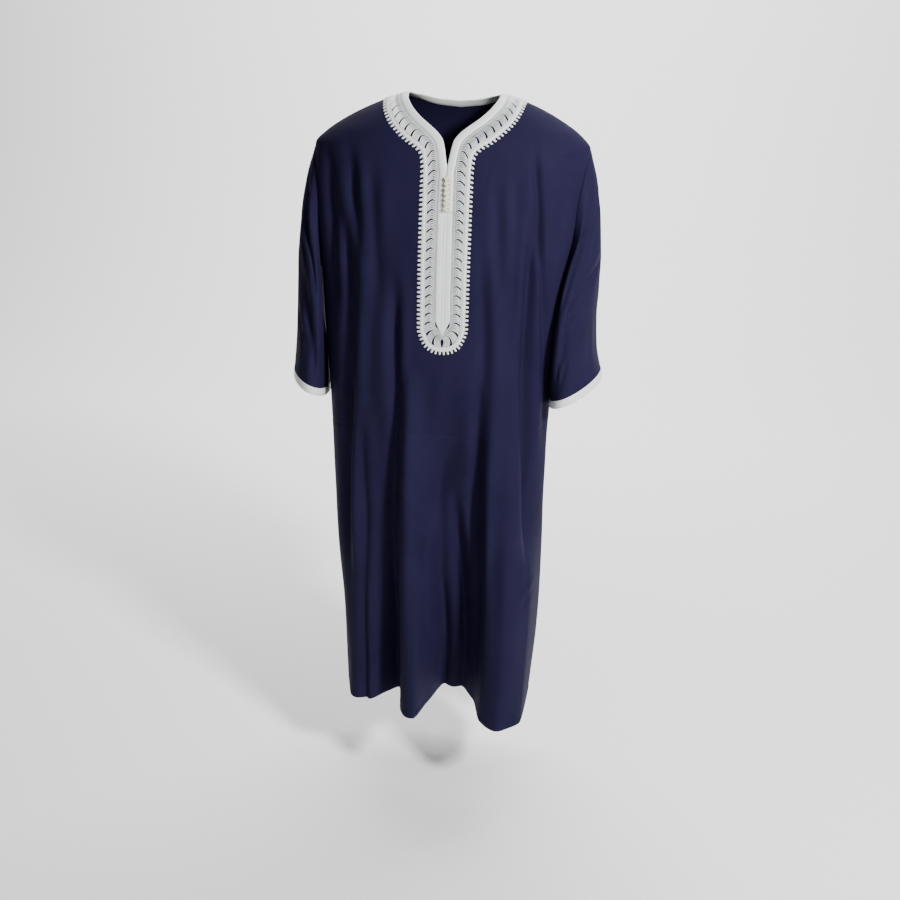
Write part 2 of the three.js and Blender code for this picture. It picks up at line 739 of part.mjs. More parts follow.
function makePlacket(group) {
  const across = [-1, 0, 1];
  const top = slitFastenedTo + seamGap;
  const dropAt = (_, k) => lerp(top, placketStraightTo, k / placketSteps);
  const drops = Array.from({ length: placketSteps + 1 }, dropAt);
  drops.push(lerp(placketStraightTo, placketTip, 0.5), placketTip);
  const lines = drops.map((drop) => {
    const taper = Math.max((drop - placketStraightTo) / (placketTip - placketStraightTo), 0);
    const half = lerp(placketHalf, placketTipHalf, taper);
    return across.map((share) => ontoBody(bodyPoint(-1, share * half, drop)));
  });
  const bottom = wall / 2 + trimLift;
  const geometry = solidFromGrid({
    grid: lines.map((line) => line.map(({ point }) => point)),
    normals: lines.map((line) => line.map(({ normal }) => normal)),
    inner: bottom,
    outer: bottom + satinWall,
  });
  group.add(namedMesh("placket", geometry, satin));
}

function makeButtons(group) {
  const height = wall / 2 + trimLift + satinWall + seamGap + buttonRadius;
  for (let k = 0; k < buttonCount; k++) {
    const { point, normal } = ontoBody(bodyPoint(-1, 0, buttonFirstDrop + k * buttonPitch));
    const ball = new THREE.SphereGeometry(buttonRadius, buttonSides, buttonRings);
    ball.deleteAttribute("uv");
    const mesh = new THREE.Mesh(ball, cream);
    mesh.name = `button_${k + 1}`;
    mesh.position.copy(point.addScaledVector(normal, height));
    group.add(mesh);
  }
}

const djellaba = new THREE.Group();
makeCloth(djellaba);
makeBraid(djellaba);
makeNeckBinding(djellaba);
makePlacket(djellaba);
makeButtons(djellaba);

export default djellaba;
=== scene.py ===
import bpy
import math
import numpy as np
from mathutils import Matrix, Vector


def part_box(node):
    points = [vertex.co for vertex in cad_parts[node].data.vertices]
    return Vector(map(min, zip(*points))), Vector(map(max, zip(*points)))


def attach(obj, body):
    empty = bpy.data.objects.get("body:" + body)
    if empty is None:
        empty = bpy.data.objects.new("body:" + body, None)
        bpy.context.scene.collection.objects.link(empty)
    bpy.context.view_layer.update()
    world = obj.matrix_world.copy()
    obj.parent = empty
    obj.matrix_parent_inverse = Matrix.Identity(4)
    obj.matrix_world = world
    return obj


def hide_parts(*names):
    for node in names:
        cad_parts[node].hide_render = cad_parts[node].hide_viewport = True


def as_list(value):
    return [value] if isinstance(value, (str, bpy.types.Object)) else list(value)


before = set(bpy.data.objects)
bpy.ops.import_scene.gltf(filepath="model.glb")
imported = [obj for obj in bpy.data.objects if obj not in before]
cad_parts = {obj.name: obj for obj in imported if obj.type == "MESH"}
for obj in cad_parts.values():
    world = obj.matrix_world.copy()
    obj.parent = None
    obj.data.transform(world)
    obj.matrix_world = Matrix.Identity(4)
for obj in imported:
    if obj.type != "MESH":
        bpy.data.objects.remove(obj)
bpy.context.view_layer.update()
mm = 0.001  # in metres

# Tables and sizes are in millimetres. +X is the wearer's left, -Y the front, and a drop is
# how far a point lies below the neck points, where the neckline crosses the shoulder line.

cameraView = {
    "distance": 2.2,  # metres from the middle of the neck
    "azimuth": 6.5,  # degrees, round to the wearer's left
    "pitch": 19.2,
    "roll": 1.4,
    "aside": 0.0049,
    "rise": -0.0033,
    "lens": 40.8,
    "sensor": 36,
}


def makeCamera():
    az, pitch, roll = (math.radians(cameraView[key]) for key in ("azimuth", "pitch", "roll"))
    ahead = Vector((-math.sin(az) * math.cos(pitch), math.cos(az) * math.cos(pitch), -math.sin(pitch)))
    level = Vector((math.cos(az), math.sin(az), 0))
    upright = level.cross(ahead)
    right = level * math.cos(roll) + upright * math.sin(roll)
    up = upright * math.cos(roll) - level * math.sin(roll)
    place = Vector((math.sin(az), -math.cos(az), 0)) * cameraView["distance"]
    place += Vector((cameraView["aside"], 0, cameraView["rise"]))
    bpy.ops.object.camera_add(location=place)
    camera = bpy.context.object
    camera.name = "camera"
    turn = Matrix((right, up, -ahead)).transposed()
    camera.rotation_euler = turn.to_euler()
    camera.data.sensor_width = cameraView["sensor"]
    camera.data.lens = cameraView["lens"]
    bpy.context.scene.camera = camera


makeCamera()
print("camera placed")

body = {
    "shoulderHalf": 285,
    "shoulderDrop": 102,
    "underarmDrop": 360,
    "armholeDeep": 58,
    "neckHalf": 97,
    "neckSlitDrop": 149,  # foot of the slit in front
    "slitDrop": 1092,  # top of the side slits
    "slitOpening": 9,  # degrees
    "slitSpreadsPast": 60,
    "hemDrop": 1352,
    "hemFollowsFold": 0.14,
    "foldsFrom": 530,
    "foldsGrowBy": 0.25,
    "sidesStill": 30,  # folds fade in over this depth from the side line
    "threadsLeanBy": 0.6,
    "threadsEvenFrom": 0.35,
    "columnsCrowd": 0.4,
    "thick": 0.8,
}
# Horizontal sections: drop, half width, sideways lean, depth in front and behind, exponent of the oval
bodySections = [
    (0, 97, 0, 56, 60, 2.0),
    (14, 145, 0, 70, 72, 2.0),
    (50, 222, -2, 94, 94, 2.1),
    (80, 266, -4, 110, 106, 2.2),
    (102, 285, -6, 118, 112, 2.2),
    (150, 290, -7, 130, 119, 2.2),
    (230, 286, -9, 142, 124, 2.2),
    (360, 268, -14, 151, 118, 2.2),
    (520, 253, -20, 151, 108, 2.2),
    (770, 240, -19, 148, 106, 2.2),
    (990, 238, -13, 146, 110, 2.2),
    (1210, 230, -7, 146, 116, 2.2),
    (1400, 222, -9, 148, 120, 2.2),
]
# Where the threads leave the neckline and shoulder line, from the centre out
threadPlaces = [0, 3, 9, 20, 40, 62, 82, 97, 120, 143, 166, 189, 211, 232, 251, 266, 277, 285]
# Folds up from the hem: share of the half width, how far the cloth stands out at the hem
frontFolds = [
    (-1, 0), (-0.86, 38), (-0.7, 26), (-0.4, -38), (-0.3, 20), (-0.16, 48), (-0.05, -10),
    (0.1, -76), (0.22, -74), (0.41, -34), (0.52, 50), (0.72, 96), (0.92, 98), (1, 0),
]
backFolds = [
    (-1, 0), (-0.84, 56), (-0.64, 50), (-0.44, -38), (-0.26, -30), (-0.1, 52),
    (0.08, 58), (0.24, -36), (0.4, -42), (0.56, 44), (0.82, 62), (1, 0),
]
# Upright creases beside the armholes: share at the top and at the foot, drops, depth, width as a share
frontCreases = [(0.84, 0.9, 110, 820, 10, 0.07), (-0.78, -0.84, 120, 480, 7, 0.08)]
backCreases = [(0.8, 0.84, 120, 640, 9, 0.08), (-0.8, -0.84, 120, 600, 8, 0.08)]

# Cross lines of the neck trim on the wearer's left, from the centre back over the shoulder to the
# front and round the placket's tip: the inner edge, the comb's tips, the width of the satin
trimLines = [
    ((0, 73, -16), (0, 99, -60), 15),
    ((40, 68, -12), (55, 95, -57), 15),
    ((70, 53, -6), (101, 76, -42), 15),
    ((92, 27, -1.5), (138, 40, -21), 15),
    ((97, 0, 0), (146, 0, -14.5), 15),
    ((95, -20, -2), (145, -25, -18), 15),
    ((91, -48, -13), (141, -52, -32), 15),
    ((80, -71, -28), (129, -80, -55), 15),
    ((61, -88, -46), (110, -99, -75), 15),
    ((38, -100, -63), (86, -111, -94), 15),
    ((22, -107, -76), (68, -116, -105), 15),
    ((12, -113, -89), (57, -120, -116), 15.5),
    ((7.5, -118, -105), (54, -124, -130), 16),
    ((3.5, -124, -128), (53, -128, -146), 17),
    ((0.3, -129, -149), (53, -131, -163), 19),
    ((0.3, -140, -215), (53, -138, -222), 19),
    ((0.3, -148, -330), (53, -147, -332), 19),
    ((0.3, -151, -440), (53, -150, -440), 19),
    ((0, -151, -458), (53, -150, -458), 8.3),
    ((0, -151, -458), (37.5, -151, -495.5), 7.4),
    ((0, -151, -458), (18, -151, -508), 9.2),
    ((0, -151, -458), (0, -151, -511), 14),
]

# A sleeve's end is an oval: its middle, half sizes, turn in degrees and slopes. The bulge is how far its
# outer side stands out from armhole to cuff, and frontIn how far its front hangs in.
sleeves = [
    {
        "name": "sleeve_left",
        "side": 1,
        "middle": (281, 0, -611),
        "across": 48,
        "deep": 92,
        "turn": 21,
        "riseOut": 0.45,
        "riseBack": 0.04,
        "bulge": (0, 12, 15, 13, 4, -7, -11, 0),
        "frontIn": 16,
    },
    {
        "name": "sleeve_right",
        "side": -1,
        "middle": (313, 0, -621.5),
        "across": 40,
        "deep": 96,
        "turn": 11,
        "riseOut": 0.45,
        "riseBack": -0.04,
        "bulge": (0, 14, 18, 18, 13, 7, 2, 0),
        "frontIn": 9,
    },
]
# How far a sleeve stands off past the armhole seam, and the dip in that where it hangs over the side seam
standOff = {"high": 20, "at": 0.12, "dip": 0.95, "dipAround": 212, "dipWide": 35}
sleeveFuller = 12  # how far a sleeve's front and back swell halfway down
# Folds of both sleeves: degrees round at the start and end (90 outwards, 180 in front), shares of the
# length, how far out of the cloth, width in degrees
sleeveFolds = [
    (120, 176, 0.02, 0.5, -9, 17),
    (128, 196, 0.4, 0.98, -10, 19),
    (60, 8, 0.05, 0.62, -9, 18),
    (40, 30, 0.5, 1.0, 6, 20),
]

searchSteps = 40  # halvings that find the shoulder line
searchPast = 20


def lerp(a, b, t):
    return a + (b - a) * t


def bell(x, wide=1):
    return np.exp(-((x / wide) ** 2))


def turnsRound(sides):
    return np.linspace(0, 2 * np.pi, sides + 1)[:-1]


def unit(vectors):
    return vectors / np.linalg.norm(vectors, axis=-1, keepdims=True)


def smoothStep(x, low, high):
    t = np.clip((x - low) / (high - low), 0, 1)
    return t * t * (3 - 2 * t)


def smoothThrough(places, values, x):  # through all the knots, with no overshoot
    places = np.asarray(places, float)
    values = np.asarray(values, float)
    x = np.asarray(x, float)
    step = np.diff(places)
    slope = np.diff(values) / step
    product = slope[:-1] * slope[1:]
    total = slope[:-1] + slope[1:]
    inner = np.where(product > 0, 2 * product / np.where(product > 0, total, 1), 0)
    tangent = np.concatenate([slope[:1], inner, slope[-1:]])
    k = np.clip(np.searchsorted(places, x) - 1, 0, len(step) - 1)
    u = (x - places[k]) / step[k]
    u2 = u * u
    u3 = u2 * u
    ends = (2 * u3 - 3 * u2 + 1) * values[k] + (3 * u2 - 2 * u3) * values[k + 1]
    return ends + step[k] * ((u3 - 2 * u2 + u) * tangent[k] + (u3 - u2) * tangent[k + 1])


def sectionAt(drop):
    columns = np.array(bodySections, float).T
    drop = np.maximum(drop, 0)
    return [smoothThrough(columns[0], column, drop) for column in columns[1:]]


def shoulderLineDrop(x):
    low = np.zeros_like(x)
    high = np.full_like(x, body["shoulderDrop"] + searchPast)
    for _ in range(searchSteps):
        middle = (low + high) / 2
        half, shift = sectionAt(middle)[:2]
        short = half < np.abs(x - shift)
        low = np.where(short, middle, low)
        high = np.where(short, high, middle)
    return (low + high) / 2


def depthShare(share, exponent):
    return np.maximum(1 - np.abs(share) ** exponent, 0) ** (1 / exponent)


def evenShare(c):
    return lerp(c, np.sin(np.pi / 2 * c), body["columnsCrowd"])


def necklineDrop(face, x):
    aboveSlit = [edge for edge, _, _ in trimLines if edge[2] >= -body["neckSlitDrop"]]
    knots = sorted((edge[0], -edge[2]) for edge in aboveSlit if edge[1] * face >= 0)
    places, drops = zip(*knots)
    return smoothThrough(places, drops, np.maximum(np.abs(x), places[0]))


def foldOut(face, share, drop):
    places, out = zip(*(frontFolds if face < 0 else backFolds))
    down = np.maximum((drop - body["foldsFrom"]) / (body["hemDrop"] - body["foldsFrom"]), 0)
    return smoothThrough(places, out, share) * down * smoothStep(down, 0, body["foldsGrowBy"])


def creaseIn(face, share, drop):
    depth = np.zeros_like(share)
    for top, foot, start, end, deep, wide in frontCreases if face < 0 else backCreases:
        along = np.clip((drop - start) / (end - start), 0, 1)
        depth += deep * np.sin(np.pi * np.sqrt(along)) * bell(share - lerp(top, foot, along), wide)
    return depth


# Creases: start and end (x, drop), depth (under 0 stands out), width, bow sideways, and how
# much of the depth rises again as a soft ridge on one side of the trough
frontWrinkles = [
    ((-196, 90), (-214, 400), 4.5, 16, 8, 0.5),
    ((-150, 130), (-176, 470), 3.5, 20, -10, 0.4),
    ((-232, 150), (-226, 330), 3.5, 11, 4, 0.3),
    ((-118, 180), (-132, 560), 2.2, 17, 6, 0.5),
    ((150, 100), (176, 420), 3.0, 22, 8, 0.4),
    ((205, 130), (214, 560), 3.5, 15, -6, 0.5),
    ((108, 160), (118, 520), 2.0, 18, 6, 0.4),
    ((56, 233), (98, 229), 2.4, 2.6, 2, 0.6),
    ((56, 246), (80, 250), 1.0, 3, -1, 0.5),
    ((56, 372), (84, 369), 1.4, 4, 2, 0.6),
    ((-60, 300), (-92, 306), 1.0, 4, -2, 0.5),
    ((-218, 700), (-206, 1250), 5.0, 13, 6, 0.4),
    ((196, 620), (201, 1180), 6.0, 12, 5, 0.5),
    ((216, 1010), (168, 1048), 3.0, 6, 4, 0.6),
    ((218, 1040), (182, 1096), 2.2, 6, -3, 0.5),
]
backWrinkles = [
    ((-190, 110), (-206, 430), 4.5, 16, -7, 0.5),
    ((-140, 150), (-158, 520), 3.0, 20, 9, 0.4),
    ((180, 120), (198, 470), 4.0, 18, 7, 0.5),
    ((122, 170), (136, 600), 2.6, 18, -6, 0.4),
    ((-30, 200), (-44, 640), 2.4, 24, 8, 0.4),
    ((52, 260), (60, 700), 2.4, 22, -7, 0.4),
    ((-216, 640), (-206, 1200), 5.0, 13, -5, 0.4),
    ((212, 700), (200, 1240), 5.0, 12, 6, 0.5),
]
# Long upright folds: their line as (x, drop) from top to bottom, depth, width, share that rises beside it
frontLongFolds = [
    ([(-247, 70), (-239, 213), (-233, 312), (-223, 460)], 7, 10, 0.6),
    ([(-200, 60), (-185, 170), (-174, 267), (-170, 440)], 7, 12, 0.6),
    (
        [(-216, 190), (-197, 308), (-186, 410), (-190, 517), (-196, 680), (-204, 862), (-209, 1060)],
        12, 13, 0.8,
    ),
    ([(-166, 600), (-164, 807), (-161, 902), (-164, 1150), (-161, 1345)], 8, 11, 0.6),
    ([(-147, 90), (-140, 206), (-131, 322), (-123, 500)], 5.5, 13, 0.6),
    (
        [(-86, 330), (-88, 493), (-86, 655), (-88, 845), (-88, 1000), (-86, 1157), (-84, 1345)],
        16, 13, 0.8,
    ),
    ([(66, 620), (44, 710), (17, 800), (-8, 880), (-26, 980), (-40, 1200)], 8, 24, 0.5),
    ([(12, 900), (5, 1000), (16, 1102), (24, 1210), (22, 1300)], 9, 12, 0.3),
    ([(38, 780), (47, 890), (58, 991), (70, 1118), (76, 1251), (70, 1330)], 13, 12, 0.7),
    (
        [(78, 240), (87, 400), (93, 500), (92, 580), (89, 680), (88, 780), (86, 900), (84, 1060)],
        11, 13, 0.6,
    ),
    ([(101, 90), (111, 196), (120, 311), (127, 500)], 4.5, 14, 0.6),
    ([(142, 80), (146, 196), (150, 330), (150, 520)], 5.5, 12, 0.6),
    ([(150, 820), (140, 960), (150, 1110), (146, 1320)], 4, 15, 0.6),
    (
        [(190, 190), (189, 260), (187, 420), (188, 540), (194, 650), (203, 760), (212, 880), (220, 1040)],
        25, 14, 0.1,
    ),
    ([(162, 20), (184, 175), (199, 295), (214, 422), (222, 629), (221, 800)], 8, 7, 0.1),
]
backLongFolds = [
    ([(-204, 180), (-190, 380), (-196, 620), (-206, 900)], 9, 14, 0.7),
    ([(-96, 300), (-104, 520), (-98, 760), (-112, 1000), (-118, 1330)], 10, 14, 0.8),
    ([(-24, 420), (-30, 640), (-20, 900), (-8, 1100)], 5, 14, 0.6),
    ([(70, 330), (84, 560), (80, 800), (94, 1060), (88, 1330)], 10, 14, 0.8),
    ([(176, 160), (166, 360), (174, 600), (186, 860)], 10, 13, 0.7),
    ([(26, 760), (18, 940), (30, 1140), (22, 1330)], 5, 12, 0.6),
]
# Left by folding for sale: across the front and back, drop at the centre, depth
pressCreases = [
    (-1, 690, 0.9),
    (1, 700, 0.8),
]
pressLine = {"sway": 9, "swayLong": 70, "step": 6, "stepFrom": 100, "wide": 2.6}
creaseForm = {"aside": 1.9, "ridgeWide": 1.3, "fadeBend": 0.8}  # in widths of the trough
longFoldForm = {
    "aside": 0.8,  # in widths of the trough, as the next two are
    "ridges": [(2.1, 1.3, 1.0), (-2.2, 1.5, 0.3)],  # place, width, share of the ridge's height
    "fadeIn": 150,
    "fadeOut": 170,
    "runsOffBelow": 1290,  # a fold that ends lower than this runs off the hem
}
unevenness = {"waves": 9, "apart": 60, "long": 320, "strength": 1.6, "high": (0.9, 2.0), "from": (300, 900)}
# Where the long folds fade in beside the neck trim, round the neck and below the trim's tip
besideTrim = (55, 110)  # from the middle of the front
roundNeck = (165, 230)
belowTrim = (512, 620)
neckOval = (1.15, 10)  # how wide for its depth, and its middle above the neck points
creasesReachTrimTo = 400  # a drop; lower down the short creases stay clear of the trim too


def creaseRelief(wrinkles, x, y):
    out = np.zeros_like(x)
    for start, end, deep, wide, bow, ridge in wrinkles:
        line = np.subtract(end, start).astype(float)
        length = np.hypot(*line)
        line /= length
        t = np.clip(((x - start[0]) * line[0] + (y - start[1]) * line[1]) / length, 0, 1)
        aside = (x - start[0]) * line[1] - (y - start[1]) * line[0]
        away = (aside - bow * np.sin(np.pi * t)) / wide
        fade = np.sin(np.pi * t ** creaseForm["fadeBend"]) ** 2
        beside = bell(away - creaseForm["aside"], creaseForm["ridgeWide"])
        out += deep * fade * (ridge * beside - bell(away))
    return out


def longFoldRelief(folds, x, drop):
    out = np.zeros_like(x)
    for line, deep, wide, ridge in folds:
        across, down = zip(*line)
        first, last = down[0], down[-1]
        fade = smoothStep(drop, first, first + longFoldForm["fadeIn"])
        if last <= longFoldForm["runsOffBelow"]:
            fade = fade * smoothStep(last - drop, 0, longFoldForm["fadeOut"])
        middle = smoothThrough(down, across, np.clip(drop, first, last))
        away = (x - middle) / wide + longFoldForm["aside"]
        beside = sum(share * bell(away - place, spread) for place, spread, share in longFoldForm["ridges"])
        out += deep * fade * (ridge * beside - bell(away))
    return out


def softUnevenness(x, y, seed):  # gentle long undulation between about -1 and 1
    chance = np.random.default_rng(seed)
    total = np.zeros_like(x)
    for _ in range(unevenness["waves"]):
        across = chance.uniform(0.6, 1.8) / unevenness["apart"]
        down = chance.uniform(-1, 1) / unevenness["long"]
        total += np.sin(2 * np.pi * (across * x + down * y) + chance.uniform(0, 7))
    return total / unevenness["waves"] * unevenness["strength"]


def clearOfTrim(x, drop):  # 0 under the neck trim and 1 well away from it
    flatten, rise = neckOval
    beside = smoothStep(np.abs(x), *besideTrim)
    below = smoothStep(drop, *belowTrim)
    away = smoothStep(np.hypot(x / flatten, drop + rise), *roundNeck)
    return np.maximum(np.minimum(beside, away), below)


def fineRelief(face, x, drop):
    wrinkles, folds = (frontWrinkles, frontLongFolds) if face < 0 else (backWrinkles, backLongFolds)
    shown = clearOfTrim(x, drop)
    out = creaseRelief(wrinkles, x, drop) * np.maximum(shown, drop < creasesReachTrimTo)
    out += longFoldRelief(folds, x, drop) * shown
    uneven = lerp(*unevenness["high"], smoothStep(drop, *unevenness["from"]))
    out += softUnevenness(x, drop, 3 + face) * uneven * shown
    for side, line, depth in pressCreases:
        sway = pressLine["sway"] * np.sin(x / pressLine["swayLong"])
        level = line + sway - pressLine["step"] * (x > pressLine["stepFrom"])
        out -= (side == face) * depth * bell(drop - level, pressLine["wide"])
    return out


def bodyPoint(face, x, drop, fine=False):
    half, shift, front, back, exponent = sectionAt(drop)
    share = np.clip((x - shift) / half, -1, 1)
    deep = front if face < 0 else back
    y = face * deep * depthShare(share, exponent)
    nx = np.sign(share) * np.abs(share) ** (exponent - 1) / half
    ny = face * (np.abs(y) / deep) ** (exponent - 1) / deep
    size = np.hypot(nx, ny)
    awayFromSide = smoothStep(np.abs(y), 0, body["sidesStill"])
    out = -creaseIn(face, share, drop)
    if fine:
        out = out + fineRelief(face, x, drop)
    x = x + out * nx / size * awayFromSide
    y = y + (out * ny / size + face * foldOut(face, share, drop)) * awayFromSide
    return np.stack([x, y, -drop], -1)


def armholeEdge(face, side, v):
    drop = lerp(body["shoulderDrop"], body["underarmDrop"], (1 - np.cos(np.pi * v)) / 2)
    half, shift, front, back, exponent = sectionAt(drop)
    away = body["armholeDeep"] * np.sin(np.pi * v)
    share = depthShare(away / (front if face < 0 else back), exponent)
    return np.stack([shift + side * half * share, face * away, -drop], -1)


def panelPoint(face, c, q, fine=True):
    # c runs from -1 at the wearer's right side to 1; q is 0 at the top, 1 at the underarm, 2 at the hem
    side = np.where(c < 0, -1, 1)
    place = np.interp(np.abs(c) * (len(threadPlaces) - 1), range(len(threadPlaces)), threadPlaces)
    v = np.minimum(q, 1)
    edge = armholeEdge(face, side, v)
    shift = sectionAt(-edge[..., 2])[1]
    evened = smoothStep(v, body["threadsEvenFrom"], 1)
    spread = lerp(place / body["shoulderHalf"], evenShare(np.abs(c)), evened)
    leanAtTop = smoothStep(place, body["neckHalf"], body["shoulderHalf"])
    lean = lerp(leanAtTop, 1, smoothStep(v, 0, body["threadsLeanBy"])) * shift
    x = lean + side * spread * np.abs(edge[..., 0] - shift)
    topX = leanAtTop * sectionAt(body["shoulderDrop"])[1] + side * place
    top = np.where(place < body["neckHalf"], necklineDrop(face, place), shoulderLineDrop(topX))
    drop = lerp(top, body["underarmDrop"], (1 - np.cos(np.pi * v)) / 2)
    upper = bodyPoint(face, x, drop, fine)
    onCrest = (v == 0) & (place >= body["neckHalf"])
    crest = np.stack([x, 0 * x, -shoulderLineDrop(x)], -1)
    upper = np.where(onCrest[..., None], crest, upper)
    upper = np.where((np.abs(c) == 1)[..., None], edge, upper)

    straight = side * evenShare(np.abs(c))
    hemFold = foldOut(face, straight, np.full_like(c, body["hemDrop"]))
    hem = body["hemDrop"] + body["hemFollowsFold"] * hemFold
    drop = lerp(body["underarmDrop"], hem, np.clip(q - 1, 0, 1))
    half, shift, _, _, exponent = sectionAt(drop)
    spreading = smoothStep(drop, body["slitDrop"], body["hemDrop"] + body["slitSpreadsPast"])
    open_ = np.radians(body["slitOpening"] * spreading)
    lower = bodyPoint(face, shift + straight * np.cos(open_) ** (2 / exponent) * half, drop, fine)
    return np.where((q <= 1)[..., None], upper, lower)


def makeMesh(name, verts, quads, uvs, caps=None):  # caps close the ends of tubes
    mesh = bpy.data.meshes.new(name)
    caps = np.zeros((0, 4), int) if caps is None else caps
    loops = np.concatenate([quads.ravel(), caps.ravel()])
    sizes = np.concatenate([np.full(len(quads), 4), np.full(len(caps), caps.shape[1])])
    mesh.vertices.add(len(verts))
    mesh.vertices.foreach_set("co", (np.asarray(verts, float) * mm).ravel())
    mesh.loops.add(len(loops))
    mesh.loops.foreach_set("vertex_index", loops)
    mesh.polygons.add(len(sizes))
    mesh.polygons.foreach_set("loop_start", np.concatenate([[0], np.cumsum(sizes)[:-1]]))
    layer = mesh.uv_layers.new(name="cut")
    sides = np.asarray(uvs, float).reshape(-1, 2) * mm
    layer.data.foreach_set("uv", np.concatenate([sides, np.zeros((caps.size, 2))]).ravel())
    mesh.update(calc_edges=True)
    mesh.validate()
    piece = bpy.data.objects.new(name, mesh)
    bpy.context.scene.collection.objects.link(piece)
    return piece


def only(piece):
    bpy.ops.object.select_all(action="DESELECT")
    piece.select_set(True)
    bpy.context.view_layer.objects.active = piece


def finishPiece(piece, material, replaced=(), thick=None):
    only(piece)
    bpy.ops.object.shade_smooth()
    if thick:
        wall = piece.modifiers.new("wall", "SOLIDIFY")
        wall.thickness = thick * mm
        wall.offset = 0
        bpy.ops.object.modifier_apply(modifier="wall")
    else:
        bpy.ops.object.mode_set(mode="EDIT")
        bpy.ops.mesh.select_all(action="SELECT")
        bpy.ops.mesh.normals_make_consistent(inside=False)
        bpy.ops.object.mode_set(mode="OBJECT")
    piece.data.materials.clear()
    piece.data.materials.append(material)
    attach(piece, "root")
    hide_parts(*replaced)
    return piece


def gridQuads(rows, columns, wraps=False, loops=False, flip=False):
    # wraps joins the last column to the first, and loops the last row to the first
    j, i = np.arange(rows if loops else rows - 1), np.arange(columns if wraps else columns - 1)
    j, i = np.meshgrid(j, i, indexing="ij")
    after, below = (i + 1) % columns, (j + 1) % rows
    corners = [j * columns + i, below * columns + i, below * columns + after, j * columns + after]
    quads = np.stack(corners, -1).reshape(-1, 4)
    return quads[:, ::-1] if flip else quads


def gridUvs(u, v, flip=False):  # one uv for each corner of gridQuads' faces
    uv = np.stack([u, v], -1)
    corners = np.stack([uv[:-1, :-1], uv[1:, :-1], uv[1:, 1:], uv[:-1, 1:]], 2)
    corners = corners.reshape(-1, 4, 2)
    return corners[:, ::-1] if flip else corners


def lengthsAlong(points, axis):  # running length along one axis of a grid
    step = np.linalg.norm(np.diff(points, axis=axis), axis=-1)
    pad = [(0, 0)] * step.ndim
    pad[axis] = (1, 0)
    return np.pad(np.cumsum(step, axis), pad)


def gridNormals(points, wraps=False):
    if wraps:
        ahead, behind = np.roll(points, -1, 1), np.roll(points, 1, 1)
    else:
        ahead = np.concatenate([points[:, 1:], points[:, -1:]], 1)
        behind = np.concatenate([points[:, :1], points[:, :-1]], 1)
    below = np.concatenate([points[1:], points[-1:]], 0)
    above = np.concatenate([points[:1], points[:-1]], 0)
    normal = np.cross(below - above, ahead - behind)
    return normal / np.maximum(np.linalg.norm(normal, axis=-1, keepdims=True), 1e-9)


def node(tree, kind, **values):
    made = tree.nodes.new("ShaderNode" + kind)
    for key, value in values.items():
        setattr(made, key, value)
    return made


def maths(tree, operation, *inputs):
    made = node(tree, "Math", operation=operation)
    for socket, value in zip(made.inputs, inputs):
        if isinstance(value, (int, float)):
            socket.default_value = value
        else:
            tree.links.new(value, socket)
    return made.outputs[0]


def weightedSum(tree, *pairs):
    parts = [maths(tree, "MULTIPLY", value, weight) for value, weight in pairs]
    total = parts[0]
    for part in parts[1:]:
        total = maths(tree, "ADD", total, part)
    return total


def waveOf(tree, distance, period):
    turns = maths(tree, "DIVIDE", distance, period)
    return maths(tree, "SINE", maths(tree, "MULTIPLY", turns, 2 * math.pi))


def startGroup(name, inputs, outputs):
    tree = bpy.data.node_groups.new(name, "ShaderNodeTree")
    for label, value in inputs:
        socket = tree.interface.new_socket(name=label, in_out="INPUT", socket_type="NodeSocketFloat")
        socket.default_value = value
    for label in outputs:
        tree.interface.new_socket(name=label, in_out="OUTPUT", socket_type="NodeSocketFloat")
    return tree, tree.nodes.new("NodeGroupInput"), tree.nodes.new("NodeGroupOutput")


def uvParts(tree):
    uv = node(tree, "UVMap", uv_map="cut")
    parts = node(tree, "SeparateXYZ")
    tree.links.new(uv.outputs["UV"], parts.inputs[0])
    return uv.outputs["UV"], parts.outputs[0], parts.outputs[1]


def noiseOf(tree, vector, scale, detail):
    made = node(tree, "TexNoise")
    made.inputs["Scale"].default_value = scale
    made.inputs["Detail"].default_value = detail
    tree.links.new(vector, made.inputs["Vector"])
    return made.outputs["Fac"]


# Distances inside materials are in metres
twill = {"rise": 0.55, "slubScale": 700.0, "cloudScale": 9.0}
threads = {"fuzzScale": 1500.0, "cloudScale": 60.0}


def makeTwillGroup():  # diagonal ribs of a gabardine, with uneven yarns and a faint cloudiness
    tree, entry, leave = startGroup("twill", [("Rib", 0.0006), ("Yarn", 0.0003)], ["Height", "Shade"])
    uv, u, v = uvParts(tree)
    slanted = maths(tree, "ADD", u, maths(tree, "MULTIPLY", v, twill["rise"]))
    rib = waveOf(tree, slanted, entry.outputs["Rib"])
    yarn = waveOf(tree, v, entry.outputs["Yarn"])
    slub = noiseOf(tree, uv, twill["slubScale"], 1.0)
    cloud = noiseOf(tree, uv, twill["cloudScale"], 3.0)
    tree.links.new(weightedSum(tree, (rib, 0.35), (yarn, 0.12), (slub, 0.5)), leave.inputs["Height"])
    tree.links.new(weightedSum(tree, (cloud, 0.7), (slub, 0.3)), leave.inputs["Shade"])
    return tree


def makeThreadGroup():  # threads laid side by side, as in satin stitch, twisted cord and satin cloth
    tree, entry, leave = startGroup("threads", [("Thread", 0.0005), ("Slant", 0.0)], ["Height", "Shade"])
    uv, u, v = uvParts(tree)
    slanted = maths(tree, "ADD", v, maths(tree, "MULTIPLY", u, entry.outputs["Slant"]))
    thread = waveOf(tree, slanted, entry.outputs["Thread"])
    fuzz = noiseOf(tree, uv, threads["fuzzScale"], 2.0)
    cloud = noiseOf(tree, uv, threads["cloudScale"], 3.0)
    tree.links.new(weightedSum(tree, (thread, 0.4), (fuzz, 0.5)), leave.inputs["Height"])
    tree.links.new(weightedSum(tree, (cloud, 0.6), (fuzz, 0.4)), leave.inputs["Shade"])
    return tree


